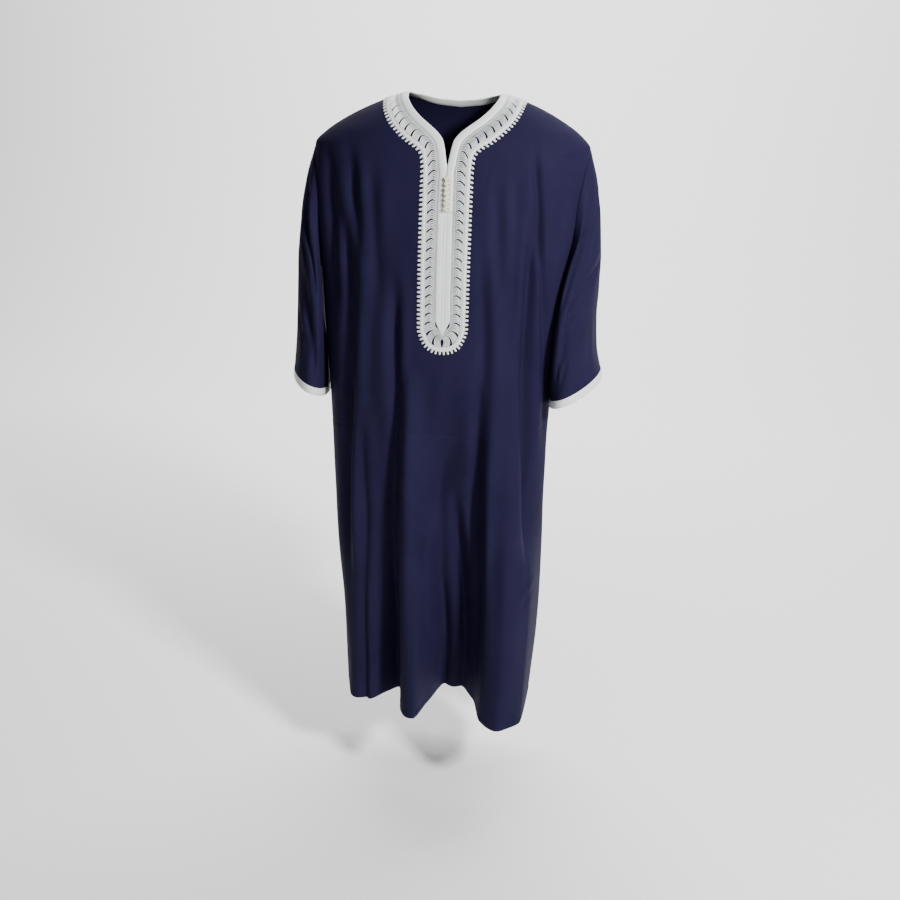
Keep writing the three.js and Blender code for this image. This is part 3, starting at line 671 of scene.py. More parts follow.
twillGroup = makeTwillGroup()
threadGroup = makeThreadGroup()
finish = {"darkBelow": 0.35, "lightAbove": 0.65, "reliefStrength": 0.6}


def makeMaterial(name, group, values, dark, light, rough, bump, shine=0.5, sheen=0.0, sheenRough=0.5):
    material = bpy.data.materials.new(name)
    material.use_nodes = True
    tree = material.node_tree
    shader = tree.nodes["Principled BSDF"]
    effect = node(tree, "Group", node_tree=group)
    for label, value in values.items():
        effect.inputs[label].default_value = value
    ramp = node(tree, "ValToRGB")
    low, high = ramp.color_ramp.elements
    low.position, low.color = finish["darkBelow"], (*dark, 1)
    high.position, high.color = finish["lightAbove"], (*light, 1)
    tree.links.new(effect.outputs["Shade"], ramp.inputs["Fac"])
    tree.links.new(ramp.outputs["Color"], shader.inputs["Base Color"])
    relief = node(tree, "Bump")
    relief.inputs["Distance"].default_value = bump
    relief.inputs["Strength"].default_value = finish["reliefStrength"]
    tree.links.new(effect.outputs["Height"], relief.inputs["Height"])
    tree.links.new(relief.outputs["Normal"], shader.inputs["Normal"])
    shader.inputs["Roughness"].default_value = rough
    shader.inputs["Specular IOR Level"].default_value = shine
    shader.inputs["Sheen Weight"].default_value = sheen
    shader.inputs["Sheen Roughness"].default_value = sheenRough
    return material


navyCloth = makeMaterial(
    "navy gabardine", twillGroup, {"Rib": 0.0006, "Yarn": 0.0003},
    dark=(0.0100, 0.0082, 0.0285), light=(0.0128, 0.0104, 0.0345), rough=0.7, bump=0.00006, shine=0.05,
)
navyThread = makeMaterial(
    "navy thread", threadGroup, {"Thread": 0.0003, "Slant": 0.8},
    dark=(0.007, 0.006, 0.027), light=(0.011, 0.010, 0.038), rough=0.6, bump=0.00004, shine=0.1,
)
whiteSatin = makeMaterial(
    "white satin", threadGroup, {"Thread": 0.0007, "Slant": 0.0},
    dark=(0.70, 0.725, 0.715), light=(0.78, 0.80, 0.79), rough=0.4, bump=0.00003,
    sheen=0.15, sheenRough=0.3,
)
whiteEmbroidery = makeMaterial(
    "white embroidery thread", threadGroup, {"Thread": 0.00055, "Slant": 0.15},
    dark=(0.68, 0.70, 0.69), light=(0.80, 0.82, 0.81), rough=0.5, bump=0.00008,
    sheen=0.1,
)
openwork = makeMaterial(  # fine net, with the navy seen through it
    "openwork ground", threadGroup, {"Thread": 0.0009, "Slant": 1.0},
    dark=(0.36, 0.37, 0.42), light=(0.60, 0.62, 0.64), rough=0.6, bump=0.0002,
)
creamCord = makeMaterial(
    "cream silky cord", threadGroup, {"Thread": 0.0007, "Slant": 1.0},
    dark=(0.62, 0.54, 0.38), light=(0.93, 0.87, 0.70), rough=0.35, bump=0.00005,
    sheen=0.1,
)
print("materials made")

panelMesh = {
    "columnsPerSide": 100,
    "upperRows": 100,
    "lowerRows": 104,
    "pressRows": (672, 712, 2.4),  # closer rows from, to and apart
    "pressMargin": 4,
    "hemRows": [18, 15, 13, 11, 9, 4, 1.5],  # closer rows above the hem
    "ditchDeep": 0.6,
    "ditchWide": 3.2,
    "seamEndsAbove": 4,
    "shoulderSeamFrom": 0.45,
    "hemStitchUp": 13,
    "hemPinch": 0.5,
    "hemPinchWide": 2.0,
    "hemPlump": 0.35,
}


def panelRows():
    upper = np.linspace(0, 1, panelMesh["upperRows"] + 1)
    tall = body["hemDrop"] - body["underarmDrop"]
    lower = np.linspace(0, tall, panelMesh["lowerRows"] + 1)[1:]
    nearPress = np.arange(*panelMesh["pressRows"]) - body["underarmDrop"]
    nearHem = tall - np.array(panelMesh["hemRows"])
    margin = panelMesh["pressMargin"]
    kept = [row for row in lower if not nearPress[0] - margin < row < nearPress[-1] + margin]
    rows = np.unique(np.concatenate([kept, nearPress, nearHem]).round(2))
    return np.concatenate([upper, 1 + rows / tall])


def makePanel(name, face, replaced):
    count = panelMesh["columnsPerSide"]
    t = np.linspace(-1, 1, 2 * count + 1)
    c = np.sin(np.pi / 2 * t)
    c[np.abs(t) == 1] = np.sign(t[np.abs(t) == 1])
    q, c = np.meshgrid(panelRows(), c, indexing="ij")
    points = panelPoint(face, c, q)
    outward = gridNormals(points) * -face
    fromSide = np.minimum(lengthsAlong(points, 1), lengthsAlong(points[:, ::-1], 1)[:, ::-1])
    fromTop = lengthsAlong(points, 0)
    fromHem = lengthsAlong(points[::-1], 0)[::-1]
    seamEnd = body["slitDrop"] - panelMesh["seamEndsAbove"]
    sideSeam = bell(fromSide, panelMesh["ditchWide"]) * (-points[..., 2] < seamEnd)
    topSeam = bell(fromTop, panelMesh["ditchWide"]) * (np.abs(c) > panelMesh["shoulderSeamFrom"])
    ditch = panelMesh["ditchDeep"] * np.maximum(sideSeam, topSeam)
    pinch = panelMesh["hemPinch"] * bell(fromHem - panelMesh["hemStitchUp"], panelMesh["hemPinchWide"])
    plump = panelMesh["hemPlump"] * (fromHem < panelMesh["hemStitchUp"])
    points = points + outward * (plump - pinch - ditch)[..., None]
    quads = gridQuads(*c.shape, flip=face > 0)
    across = lengthsAlong(points, 1)
    across = across - across[:, count:count + 1]
    uvs = gridUvs(across, -lengthsAlong(points, 0), flip=face > 0)
    piece = makeMesh(name, points.reshape(-1, 3), quads, uvs)
    return finishPiece(piece, navyCloth, replaced, body["thick"])


def angleRound(r):  # r runs from 0 at the underarm up the back to 1 on top and down the front to 2
    return np.pi / 2 - np.where(r < 1, 1, -1) * np.pi * np.abs(1 - r)


def sleevePoint(sleeve, r, t):  # t is 0 at the armhole and 1 at the cuff's end
    side = sleeve["side"]
    atBack = r < 1
    v = np.abs(1 - r)
    angle = angleRound(r)
    start = np.where(atBack[..., None], armholeEdge(1, side, v), armholeEdge(-1, side, v))
    turn = math.radians(sleeve["turn"])
    outward, backward = sleeve["across"] * np.sin(angle), sleeve["deep"] * np.cos(angle)
    x = outward * math.cos(turn) + backward * math.sin(turn)
    y = backward * math.cos(turn) - outward * math.sin(turn)
    middle = sleeve["middle"]
    height = middle[2] + sleeve["riseOut"] * x + sleeve["riseBack"] * y
    rim = np.stack([side * (middle[0] + x), middle[1] + y, height], -1)
    point = lerp(start, rim, t[..., None])
    bulge = smoothThrough(np.linspace(0, 1, len(sleeve["bulge"])), sleeve["bulge"], t)
    degrees = np.degrees(angle) % 360
    outside = np.maximum(np.sin(angle), 0)
    leaving = t / standOff["at"]
    dip = standOff["dip"] * bell(degrees - standOff["dipAround"], standOff["dipWide"]) * ~atBack
    away = standOff["high"] * leaving * np.exp(1 - leaving) * (1 - outside - dip)
    swell = np.sin(np.pi * t)
    hangsIn = sleeve["frontIn"] * swell * np.maximum(-np.cos(angle), 0)
    folded = sleeveFoldOut(degrees, t)
    point[..., 0] += side * (outside * bulge + away - hangsIn + folded * np.sin(angle))
    point[..., 1] += (sleeveFuller * swell + folded) * np.cos(angle)
    return point


def sleeveFoldOut(degrees, t):
    out = np.zeros_like(t)
    for start, end, first, last, deep, wide in sleeveFolds:
        along = np.clip((t - first) / (last - first), 0, 1)
        out += deep * np.sin(np.pi * along) * bell(degrees - lerp(start, end, along), wide)
    return out


sleeveMesh = {
    "around": 112,
    "along": 104,
    "goesInsideCuff": 12,
    "wide": 1.25,  # millimetres of cloth for each degree round
    "long": 500,
    "rowsCrowd": 0.35,
    "uneven": 1.2,
    "evenAtTop": 0.2,
    "evenAtCuff": 0.15,
}
# Creases on a sleeve that is laid out flat: across in millimetres from its inner side, down
# from the armhole; then as for the body
sleeveWrinkles = {
    "sleeve_left": [
        ((150, 60), (214, 150), 6.0, 9, 6, 0.6),
        ((120, 110), (196, 158), 3.0, 6, -5, 0.6),
        ((96, 210), (206, 300), 6.5, 12, -8, 0.6),
        ((118, 330), (236, 336), 1.6, 5, 3, 0.6),
        ((104, 66), (108, 120), 2.4, 5, 2, 0.5),
        ((180, 390), (226, 470), 3.0, 9, 5, 0.5),
        ((30, 150), (14, 330), 4.0, 12, -6, 0.5),
        ((62, 250), (40, 430), 3.0, 12, 5, 0.5),
    ],
    "sleeve_right": [
        ((128, 150), (206, 250), 4.5, 10, 6, 0.6),
        ((150, 80), (208, 190), 4.0, 12, -7, 0.5),
        ((120, 320), (200, 420), 3.6, 12, 6, 0.5),
        ((40, 120), (18, 300), 4.0, 12, 6, 0.5),
        ((70, 260), (48, 440), 3.0, 13, -6, 0.5),
        ((96, 70), (104, 180), 2.2, 7, 3, 0.5),
    ],
}


def makeSleeve(sleeve):
    name, side = sleeve["name"], sleeve["side"]
    even = np.linspace(0, 1, sleeveMesh["along"] + 1)
    rows = lerp(even, np.sin(np.pi / 2 * even) ** 2, sleeveMesh["rowsCrowd"])
    t = rows * (1 - sleeveMesh["goesInsideCuff"] / sleeveMesh["long"])
    r = np.linspace(0, 2, sleeveMesh["around"] + 1)[:-1]
    t, r = np.meshgrid(t, r, indexing="ij")
    points = sleevePoint(sleeve, r, t)
    outward = gridNormals(points, wraps=True) * -side
    across = np.degrees(angleRound(r)) % 360 * sleeveMesh["wide"]
    down = t * sleeveMesh["long"]
    relief = creaseRelief(sleeveWrinkles[name], across, down)
    awayFromEnds = smoothStep(t, 0, sleeveMesh["evenAtTop"]) * smoothStep(1 - t, 0, sleeveMesh["evenAtCuff"])
    relief += softUnevenness(across, down, 11 + side) * sleeveMesh["uneven"] * awayFromEnds
    ditch = panelMesh["ditchDeep"] * bell(lengthsAlong(points, 0), panelMesh["ditchWide"])
    points = points + outward * (relief - ditch)[..., None]
    closed = np.concatenate([points, points[:, :1]], 1)
    uvs = gridUvs(lengthsAlong(closed, 1), -lengthsAlong(closed, 0), flip=side > 0)
    quads = gridQuads(*r.shape, wraps=True, flip=side > 0)
    piece = makeMesh(name + "_cloth", points.reshape(-1, 3), quads, uvs)
    return finishPiece(piece, navyCloth, [name], body["thick"])


cuff = {"wide": 17, "pastEnd": 1, "outHeight": 1.35, "stitchIn": 2.0, "stations": 150, "readsUpFrom": 0.96}
# Pitch, length and radius of the stitches
stitchSizes = {"cuff": (3.2, 2.3, 0.26), "satin": (3.1, 2.2, 0.22), "hem": (3.4, 2.3, 0.2)}
# Section of a strip folded over a cloth's edge: share of its width up from the fold, height off the
# cloth's middle as a share of its height; the last seven run back inside the fold
foldedSection = [
    (0.97, 0.62), (0.9, 1.0), (0.5, 1.06), (0.12, 1.04), (-0.03, 0.86), (-0.1, 0.3), (-0.1, -0.3),
    (-0.03, -0.86), (0.12, -1.04), (0.5, -1.06), (0.88, -1.0), (0.93, -0.7), (0.5, -0.5),
    (0.06, -0.45), (0.0, 0.0), (0.06, 0.45), (0.5, 0.5), (0.93, 0.45),
]


def makeCuff(sleeve):
    r = np.linspace(0, 2, cuff["stations"] + 1)[:-1]
    ends = sleevePoint(sleeve, r, np.full_like(r, 1.0))
    up = unit(sleevePoint(sleeve, r, np.full_like(r, cuff["readsUpFrom"])) - ends)
    around = np.roll(ends, -1, 0) - np.roll(ends, 1, 0)
    outward = unit(np.cross(around, up) * sleeve["side"])
    along, off = np.array(foldedSection).T
    points = (
        ends[:, None]
        + up[:, None] * (along * cuff["wide"] + cuff["pastEnd"])[:, None]
        + outward[:, None] * (off * cuff["outHeight"])[:, None]
    )
    name = sleeve["name"].replace("sleeve", "cuff_binding")
    piece = loftedPiece(name + "_strip", points, loops=True)
    finishPiece(piece, whiteSatin, [name])
    stitchUp = cuff["wide"] + cuff["pastEnd"] - cuff["stitchIn"]
    top = ends + up * stitchUp + outward * cuff["outHeight"]
    path = np.concatenate([top, top[:1]])
    normals = np.concatenate([outward, outward[:1]])
    return piece, stitchRow(name + "_stitches", path, normals, "cuff", whiteEmbroidery)


def loftedPiece(name, points, loops=False):  # rows of closed sections, closed at both ends or in a loop
    rows, columns = points.shape[:2]
    closed = np.concatenate([points, points[:, :1]], 1)
    if loops:
        closed = np.concatenate([closed, closed[:1]], 0)
    uvs = gridUvs(lengthsAlong(closed, 1), lengthsAlong(closed, 0))
    quads = gridQuads(rows, columns, wraps=True, loops=loops)
    caps = None
    if not loops:
        caps = np.stack([np.arange(columns), (rows - 1) * columns + np.arange(columns)[::-1]])
    return makeMesh(name, points.reshape(-1, 3), quads, uvs, caps)


def tubesPiece(name, tubes):  # many short closed tubes: an array of tube, ring, side and coordinate
    count, rings, sides = tubes.shape[:3]
    quads = gridQuads(rings, sides, wraps=True)
    caps = np.stack([np.arange(sides), (rings - 1) * sides + np.arange(sides)[::-1]])
    step = rings * sides * np.arange(count)
    allQuads = (quads[None] + step[:, None, None]).reshape(-1, 4)
    allCaps = (caps[None] + step[:, None, None]).reshape(-1, sides)
    closed = np.concatenate([tubes, tubes[:, :, :1]], 2)
    across, along = lengthsAlong(closed, 2), lengthsAlong(closed, 1)
    uvs = [gridUvs(across[k], along[k]) for k in range(count)]
    return makeMesh(name, tubes.reshape(-1, 3), allQuads, np.concatenate(uvs), allCaps)


# A stitch: place along it, how far it stands up and how thick it is, all as shares
stitchRings = np.array([
    (-0.5, -0.9, 0.5), (-0.34, 0.35, 1.0), (0, 0.6, 1.0), (0.34, 0.35, 1.0), (0.5, -0.9, 0.5),
])


def stitchBars(name, middles, along, normals, length, radius, sides=5):
    across = unit(np.cross(along, normals))
    turn = turnsRound(sides)
    place, lift, thick = stitchRings.T
    centres = (
        middles[:, None]
        + along[:, None] * (place * length)[:, None]
        + normals[:, None] * (lift * radius)[:, None]
    )
    ring = (
        across[:, None, None] * np.cos(turn)[:, None]
        + normals[:, None, None] * np.sin(turn)[:, None]
    )
    return tubesPiece(name, centres[:, :, None] + ring * (thick * radius)[None, :, None, None])


def evenPlaces(path, pitch):  # places of the stitches along a path
    run = np.concatenate([[0], np.cumsum(np.linalg.norm(np.diff(path, axis=0), axis=1))])
    count = max(int(run[-1] / pitch), 1)
    return run, (np.arange(count) + 0.5) * run[-1] / count


def stitchRow(name, path, normals, kind, material):
    pitch, length, radius = stitchSizes[kind]
    run, places = evenPlaces(path, pitch)
    reach = 0.4  # either side, to read the direction

    def read(values, at):
        return np.stack([np.interp(at, run, values[:, k]) for k in range(3)], -1)

    middles, outward = read(path, places), unit(read(normals, places))
    along = unit(read(path, places + reach) - read(path, places - reach))
    return finishPiece(stitchBars(name, middles, along, outward, length, radius), material)


frontPanel = makePanel("front_panel_cloth", -1, ["front_panel"])
backPanel = makePanel("back_panel_cloth", 1, ["back_panel"])
sleeveCloths = [makeSleeve(sleeve) for sleeve in sleeves]
cuffs = [makeCuff(sleeve) for sleeve in sleeves]
print("cloth hung, sleeves and cuffs made")

trim = {
    "satinShown": 15.2,
    "netWide": 3.4,
    "netLeast": 0.5,
    "combWide": 8.5,
    "toothLong": 7.6,
    "toothPitch": 9,
    "toothShare": 0.54,
    "toothSides": 10,
    "toothSeat": 0.35,
    "toothUnder": 0.17,
    "fastenedTo": 225,
    "low": 0.45,  # underside, off the cloth's middle
}
trimSteps = 901  # places at which the trim's length is measured
slopeReach = 0.5  # either side, to read the body's slope
settleSteps = 8


def trimCross(u):
    places = np.linspace(0, 1, len(trimLines))
    edge, tips = (
        np.stack([smoothThrough(places, [line[which][k] for line in trimLines], u) for k in range(3)], -1)
        for which in (0, 1)
    )
    return edge, tips, smoothThrough(places, [line[2] for line in trimLines], u)


def outsideBody(points):
    half, shift, front, back, exponent = sectionAt(-points[..., 2])
    deep = np.where(points[..., 1] < 0, front, back)
    x, y = np.abs(points[..., 0] - shift) / half, np.abs(points[..., 1]) / deep
    return (x ** exponent + y ** exponent) ** (1 / exponent) - 1


def bodySlope(points):
    reach = slopeReach * np.eye(3)
    return np.stack([outsideBody(points + step) - outsideBody(points - step) for step in reach], -1)


def ontoBody(points):
    for _ in range(settleSteps):
        slope = bodySlope(points)
        size = (slope ** 2).sum(-1, keepdims=True)
        points = points - slope * outsideBody(points)[..., None] / size
    return points, unit(bodySlope(points))


def trimPoint(side, u, w, h):  # w across the trim from the neckline's edge, h off the cloth
    edge, tips, _ = trimCross(u)
    across = unit(tips - edge)
    flat = edge + across * np.maximum(w, 0)[..., None]
    mirror = np.array([side, 1, 1])
    base, normal = ontoBody(flat * mirror)
    across = across * mirror
    across -= normal * (across * normal).sum(-1, keepdims=True)
    return base + across * np.minimum(w, 0)[..., None] + normal * np.asarray(h)[..., None]


def trimWidth(u):
    edge, tips, _ = trimCross(u)
    return np.linalg.norm(tips - edge, axis=-1)


def satinEdge(u):
    return np.minimum(trimCross(u)[2], trim["satinShown"])


def leafFrom(u):
    return np.maximum(trimCross(u)[2] + trim["netLeast"], satinEdge(u) + trim["netWide"])


def combFrom(u):
    return trimWidth(u) - trim["toothLong"] - trim["combWide"]


class Running:  # turns a length along one line of the trim into u
    def __init__(self, share):
        self.u = np.linspace(0, 1, trimSteps)
        edge, tips, _ = trimCross(self.u)
        line = lerp(edge, tips, share)
        step = np.linalg.norm(np.diff(line, axis=0), axis=1)
        self.run = np.concatenate([[0], np.cumsum(step)])
        self.length = self.run[-1]

    def at(self, length):
        return np.interp(length, self.run, self.u)

    def lengthAt(self, u):
        return np.interp(u, self.u, self.run)

    def evenly(self, count):
        return self.at((np.arange(count) + 0.5) * self.length / count)


# Lines along the comb's tips, the leaves and the net, by their share of the trim's width
alongTips, alongLeaves, alongNet = Running(1), Running(0.52), Running(0.33)


def bothSides(build):
    return np.concatenate([build(1), build(-1)])


leaf = {
    "pitch": 18.6,
    "ribs": 5,
    "apex": 0.36,
    "innerDrop": 0.22,
    "innerBend": 1.6,
    "outerDrop": 0.5,
    "outerBend": 1.5,
    "innerStep": 0.2,
    "outerStep": 0.145,
    "bandWide": 17,
    "ribHalf": 1.0,
    "ribRings": 13,
    "ribSides": 8,
    "ribEnd": 0.12,
    "ribUnder": 0.45,
    "seat": 0.65,
    "high": 2.5,
    "easeEnds": 4,
    "overComb": 0.8,
}


def leafLine(a, rib):  # how far along the trim a leaf's rib lies, in pitches, at a share of its width
    beforeApex = np.maximum((leaf["apex"] - a) / leaf["apex"], 0)
    pastApex = np.maximum((a - leaf["apex"]) / (1 - leaf["apex"]), 0)
    inner = leaf["innerDrop"] * beforeApex ** leaf["innerBend"]
    outer = leaf["outerDrop"] * pastApex ** leaf["outerBend"]
    return inner + outer + rib * lerp(leaf["innerStep"], leaf["outerStep"], a)


def easedEnds(s, length):  # keeps leaves from crossing the centre lines
    ease = leaf["easeEnds"]
    s = np.where(s < ease, ease * np.exp(np.minimum(s - ease, 0) / ease), s)
    left = length - s
    return np.where(left < ease, length - ease * np.exp(np.minimum(left - ease, 0) / ease), s)


def leafStarts():
    count = round(alongLeaves.length / leaf["pitch"])
    pitch = alongLeaves.length / count
    return pitch, np.arange(-1, count) * pitch


def onLeafBand(side, s, a, w, h):
    u = alongLeaves.at(easedEnds(s, alongLeaves.length))
    inner, outer = leafFrom(u), combFrom(u) + leaf["overComb"]
    return trimPoint(side, u, lerp(inner, outer, a) + w, h)


def makeLeafRibs(side):
    pitch, starts = leafStarts()
    a = np.linspace(0, 1, leaf["ribRings"])
    rib = np.arange(leaf["ribs"])
    line = leafLine(a[None], rib[:, None])
    slope = np.gradient(line, a, axis=1) * pitch / leaf["bandWide"]
    aside, across = 1 / np.hypot(slope, 1), -slope / np.hypot(slope, 1)
    thin = np.sqrt(np.clip(1 - (2 * a - 1) ** 6, leaf["ribEnd"], 1))[None, :, None]
    turn = turnsRound(leaf["ribSides"])
    offset = leaf["ribHalf"] * thin * np.cos(turn)
    dome = np.maximum(np.sin(turn), -leaf["ribUnder"])
    h = leaf["seat"] + (leaf["high"] - leaf["seat"]) * dome * thin
    s = starts[:, None, None, None] + (line * pitch)[None, :, :, None] + aside[None, ..., None] * offset
    shape = s.shape
    w = np.broadcast_to(across[None, ..., None] * offset, shape)
    points = onLeafBand(side, s, np.broadcast_to(a[:, None], shape), w, np.broadcast_to(h, shape))
    return points.reshape(-1, *shape[2:], 3)


# Rings of a comb tooth from its root: how far out, share of its half width, height
toothRings = np.array([
    (-1.4, 1, 1.6), (0, 1, 1.9), (2.2, 1.02, 2.0), (4.4, 1, 2.0),
    (6.0, 0.92, 1.8), (7.0, 0.7, 1.5), (7.6, 0.3, 0.9),
])
# Section of the comb's band: share of its width, height
combRows = np.array([
    (0.02, 0.3), (0.1, 1.7), (0.3, 2.4), (0.55, 2.5), (0.8, 2.2), (0.95, 1.5), (1.0, 0.2), (0.5, 0),
])
comb = {"from": 1.2, "narrower": 0.4, "dimple": 0.13, "chainIn": 0.6}


def toothCount():
    return round(alongTips.length / trim["toothPitch"])


def makeTeeth(side):
    count = toothCount()
    pitch = alongTips.length / count
    middles = (np.arange(count) + 0.5) * pitch
    out, half, high = toothRings.T[..., None]
    turn = turnsRound(trim["toothSides"])
    s = middles[:, None, None] + pitch * trim["toothShare"] / 2 * half * np.cos(turn)
    u = alongTips.at(s)
    w = trimWidth(u) - trim["toothLong"] + out
    h = trim["low"] + trim["toothSeat"] + high * np.maximum(np.sin(turn), -trim["toothUnder"])
    return trimPoint(side, u, w, np.broadcast_to(h, s.shape))


def loopBothSides(section, running, spacing):
    # section(side, u) gives rows of a strip, which runs down the left and back up the right
    u = running.evenly(int(running.length / spacing))
    return np.concatenate([section(1, u), section(-1, u)[::-1]])


def combSection(side, u):
    phase = alongTips.lengthAt(u) / alongTips.length * toothCount()
    ridge = 1 - comb["dimple"] * (1 + np.cos(2 * np.pi * phase)) / 2
    place, high = combRows.T
    w = (combFrom(u) + comb["from"])[:, None] + place * (trim["combWide"] - comb["narrower"])
    h = trim["low"] + high * ridge[:, None]
    return trimPoint(side, np.broadcast_to(u[:, None], w.shape), w, h)


net = {
    "cordTwist": 2.9,  # length of one lump of a twisted cord
    "zigzag": 3.1,
    "fromSatin": 0.3,
    "fromLeaves": 0.1,
}


def cordSection(centre, height, radius, sides, lumps):
    def section(side, u):
        size = radius * (1 + lumps * np.sin(2 * np.pi * alongNet.lengthAt(u) / net["cordTwist"]))
        turn = turnsRound(sides)
        w = centre(u)[:, None] + size[:, None] * np.cos(turn)
        h = height + size[:, None] * np.sin(turn)
        return trimPoint(side, np.broadcast_to(u[:, None], w.shape), w, h)

    return section


def netLine(phase):  # a zigzag thread between the satin and the leaves
    def line(u):
        swing = 0.5 + 0.5 * np.cos(2 * np.pi * alongNet.lengthAt(u) / net["zigzag"] + phase)
        inner, outer = satinEdge(u) + net["fromSatin"], leafFrom(u) - net["fromLeaves"]
        return lerp(inner, outer, smoothStep(swing, 0, 1))

    return line


def netEdgeLine(u):
    return leafFrom(u) - net["fromLeaves"]


def chainLine(u):  # a cord along the comb band's inner edge
    return combFrom(u) + comb["chainIn"]


# Section of the net's thin ground: share of the way from the satin to the leaves, height
netGroundRows = np.array([
    (-0.15, 0.3), (0.1, 0.5), (0.5, 0.55), (0.9, 0.5), (1.15, 0.3), (1.15, 0), (0.5, 0), (-0.15, 0),
])


def netGroundSection(side, u):
    place, high = netGroundRows.T
    w = lerp(satinEdge(u)[:, None], leafFrom(u)[:, None], place)
    h = trim["low"] + np.broadcast_to(high, w.shape)
    return trimPoint(side, np.broadcast_to(u[:, None], w.shape), w, h)


def makeBraid():
    ribs = tubesPiece("braid_leaves", bothSides(makeLeafRibs))
    finishPiece(ribs, whiteEmbroidery, ["braid"])
    teeth = tubesPiece("braid_comb_teeth", bothSides(makeTeeth))
    finishPiece(teeth, whiteEmbroidery)
    parts = [ribs, teeth]
    strips = [  # name, section, distance between its rings; a cord's height, radius, sides and lumps
        ("braid_comb_band", combSection, 2.2),
        ("braid_chain", cordSection(chainLine, 2.0, 0.95, 6, 0.22), 0.97),
        ("braid_net_ground", netGroundSection, 3.0),
        ("braid_net_over", cordSection(netLine(0), 1.5, 0.42, 5, 0), 0.78),
        ("braid_net_under", cordSection(netLine(math.pi), 1.2, 0.42, 5, 0), 0.78),
        ("braid_net_edge", cordSection(netEdgeLine, 1.5, 0.5, 5, 0.15), 0.97),
    ]
    for name, section, spacing in strips:
        strip = loftedPiece(name, loopBothSides(section, alongNet, spacing), loops=True)
        material = openwork if section is netGroundSection else whiteEmbroidery
        parts.append(finishPiece(strip, material))
    return parts


braidParts = makeBraid()
print("braid embroidered")

satin = {
    "outHeight": 1.7,
    "middleHeight": 0.9,
    "seat": 0.35,
    "insideUnder": 0.2,  # of the folded section: what lies below, and what is its face
    "outermostOver": 0.9,
    "rows": 190,
    "partsOver": (16, 2),  # how far above the slit's foot the edges start and cease to part
    "behind": -100,  # further back than this the neckline's edge is always free
    "stitchAt": {"outer": 1 - 1.6 / 15, "inner": 0.13},
    "stitchLift": 0.1,
}


def slitEnd():  # u where the satin edges cease to be loose
    middle = trimSteps // 2
    edge = trimCross(alongTips.u)[0]
    return np.interp(trim["fastenedTo"], -edge[:, 2][middle:], alongTips.u[middle:])


def roundNeckline(build):  # up the right side of the slit, round the neck and down the left
    return np.concatenate([build(-1)[::-1], build(1)[1:]])


def makeNeckBinding():
    u = np.linspace(0, slitEnd(), satin["rows"])
    place, off = np.array(foldedSection).T
    inside = off < satin["insideUnder"]
    outermost = off > satin["outermostOver"]
    edge = trimCross(u)[0]
    starts, ends = (body["neckSlitDrop"] - above for above in satin["partsOver"])
    open_ = np.maximum(1 - smoothStep(-edge[:, 2], starts, ends), edge[:, 1] > satin["behind"])

    def sideRows(side):
        w = satinEdge(u)[:, None] * place
        h = satin["outHeight"] * off + satin["seat"]
        flat = trim["low"] + 0.5 * (off - off.min())
        h = np.where(inside, lerp(flat, h, open_[:, None]), h)
        h = np.where(outermost, satin["outHeight"] + satin["middleHeight"] + 0 * h, h)
        w = np.where(w < 0, w * open_[:, None], w)
        return trimPoint(side, np.broadcast_to(u[:, None], w.shape), w, h)

    def stitchLine(side, share, lift):
        top = satin["outHeight"] + satin["middleHeight"] + satin["stitchLift"]
        return trimPoint(side, u, satinEdge(u) * share, np.full_like(u, top + lift))

    rows = roundNeckline(sideRows)
    piece = finishPiece(loftedPiece("neck_binding_strip", rows), whiteSatin, ["neck_binding"])
    pieces = [piece]
    for tag, share in satin["stitchAt"].items():
        path, lifted = (roundNeckline(lambda side: stitchLine(side, share, lift)) for lift in (0, 1))
        name = f"neck_binding_stitches_{tag}"
        pieces.append(stitchRow(name, path, lifted - path, "satin", whiteEmbroidery))
    return pieces


placket = {
    "half": 15.2,
    "straightTo": 440,
    "tip": 471,
    "tipHalf": 0.7,
    "overlap": 1.2,
    "rows": 90,
    "ridgeHalf": 3.0,
    "ridgeWide": 0.7,
    "grooveDeep": 0.5,
    "high": 2.63,
    "edgeFrom": 0.9,
    "edgeFalls": 0.55,
    "stitchIn": 0.3,
    "stitchLift": 0.05,
}
# Rows across the placket as shares of its half width: on top from the middle out, and underneath
placketTop = [0.1, 0.17, 0.21, 0.26, 0.45, 0.7, 0.9, 0.985, 1]
placketUnder = [0.5, 0, -0.5]
placketDepth = -150.0  # a first place in front, before ontoBody settles it


def placketPoint(x, drop, h):
    flat = np.stack([x, np.full_like(x, placketDepth), -drop], -1)
    base, normal = ontoBody(flat)
    return base + normal * h[..., None]


def placketHalf(drop):
    taper = np.clip((drop - placket["straightTo"]) / (placket["tip"] - placket["straightTo"]), 0, 1)
    return lerp(placket["half"], placket["tipHalf"], taper)


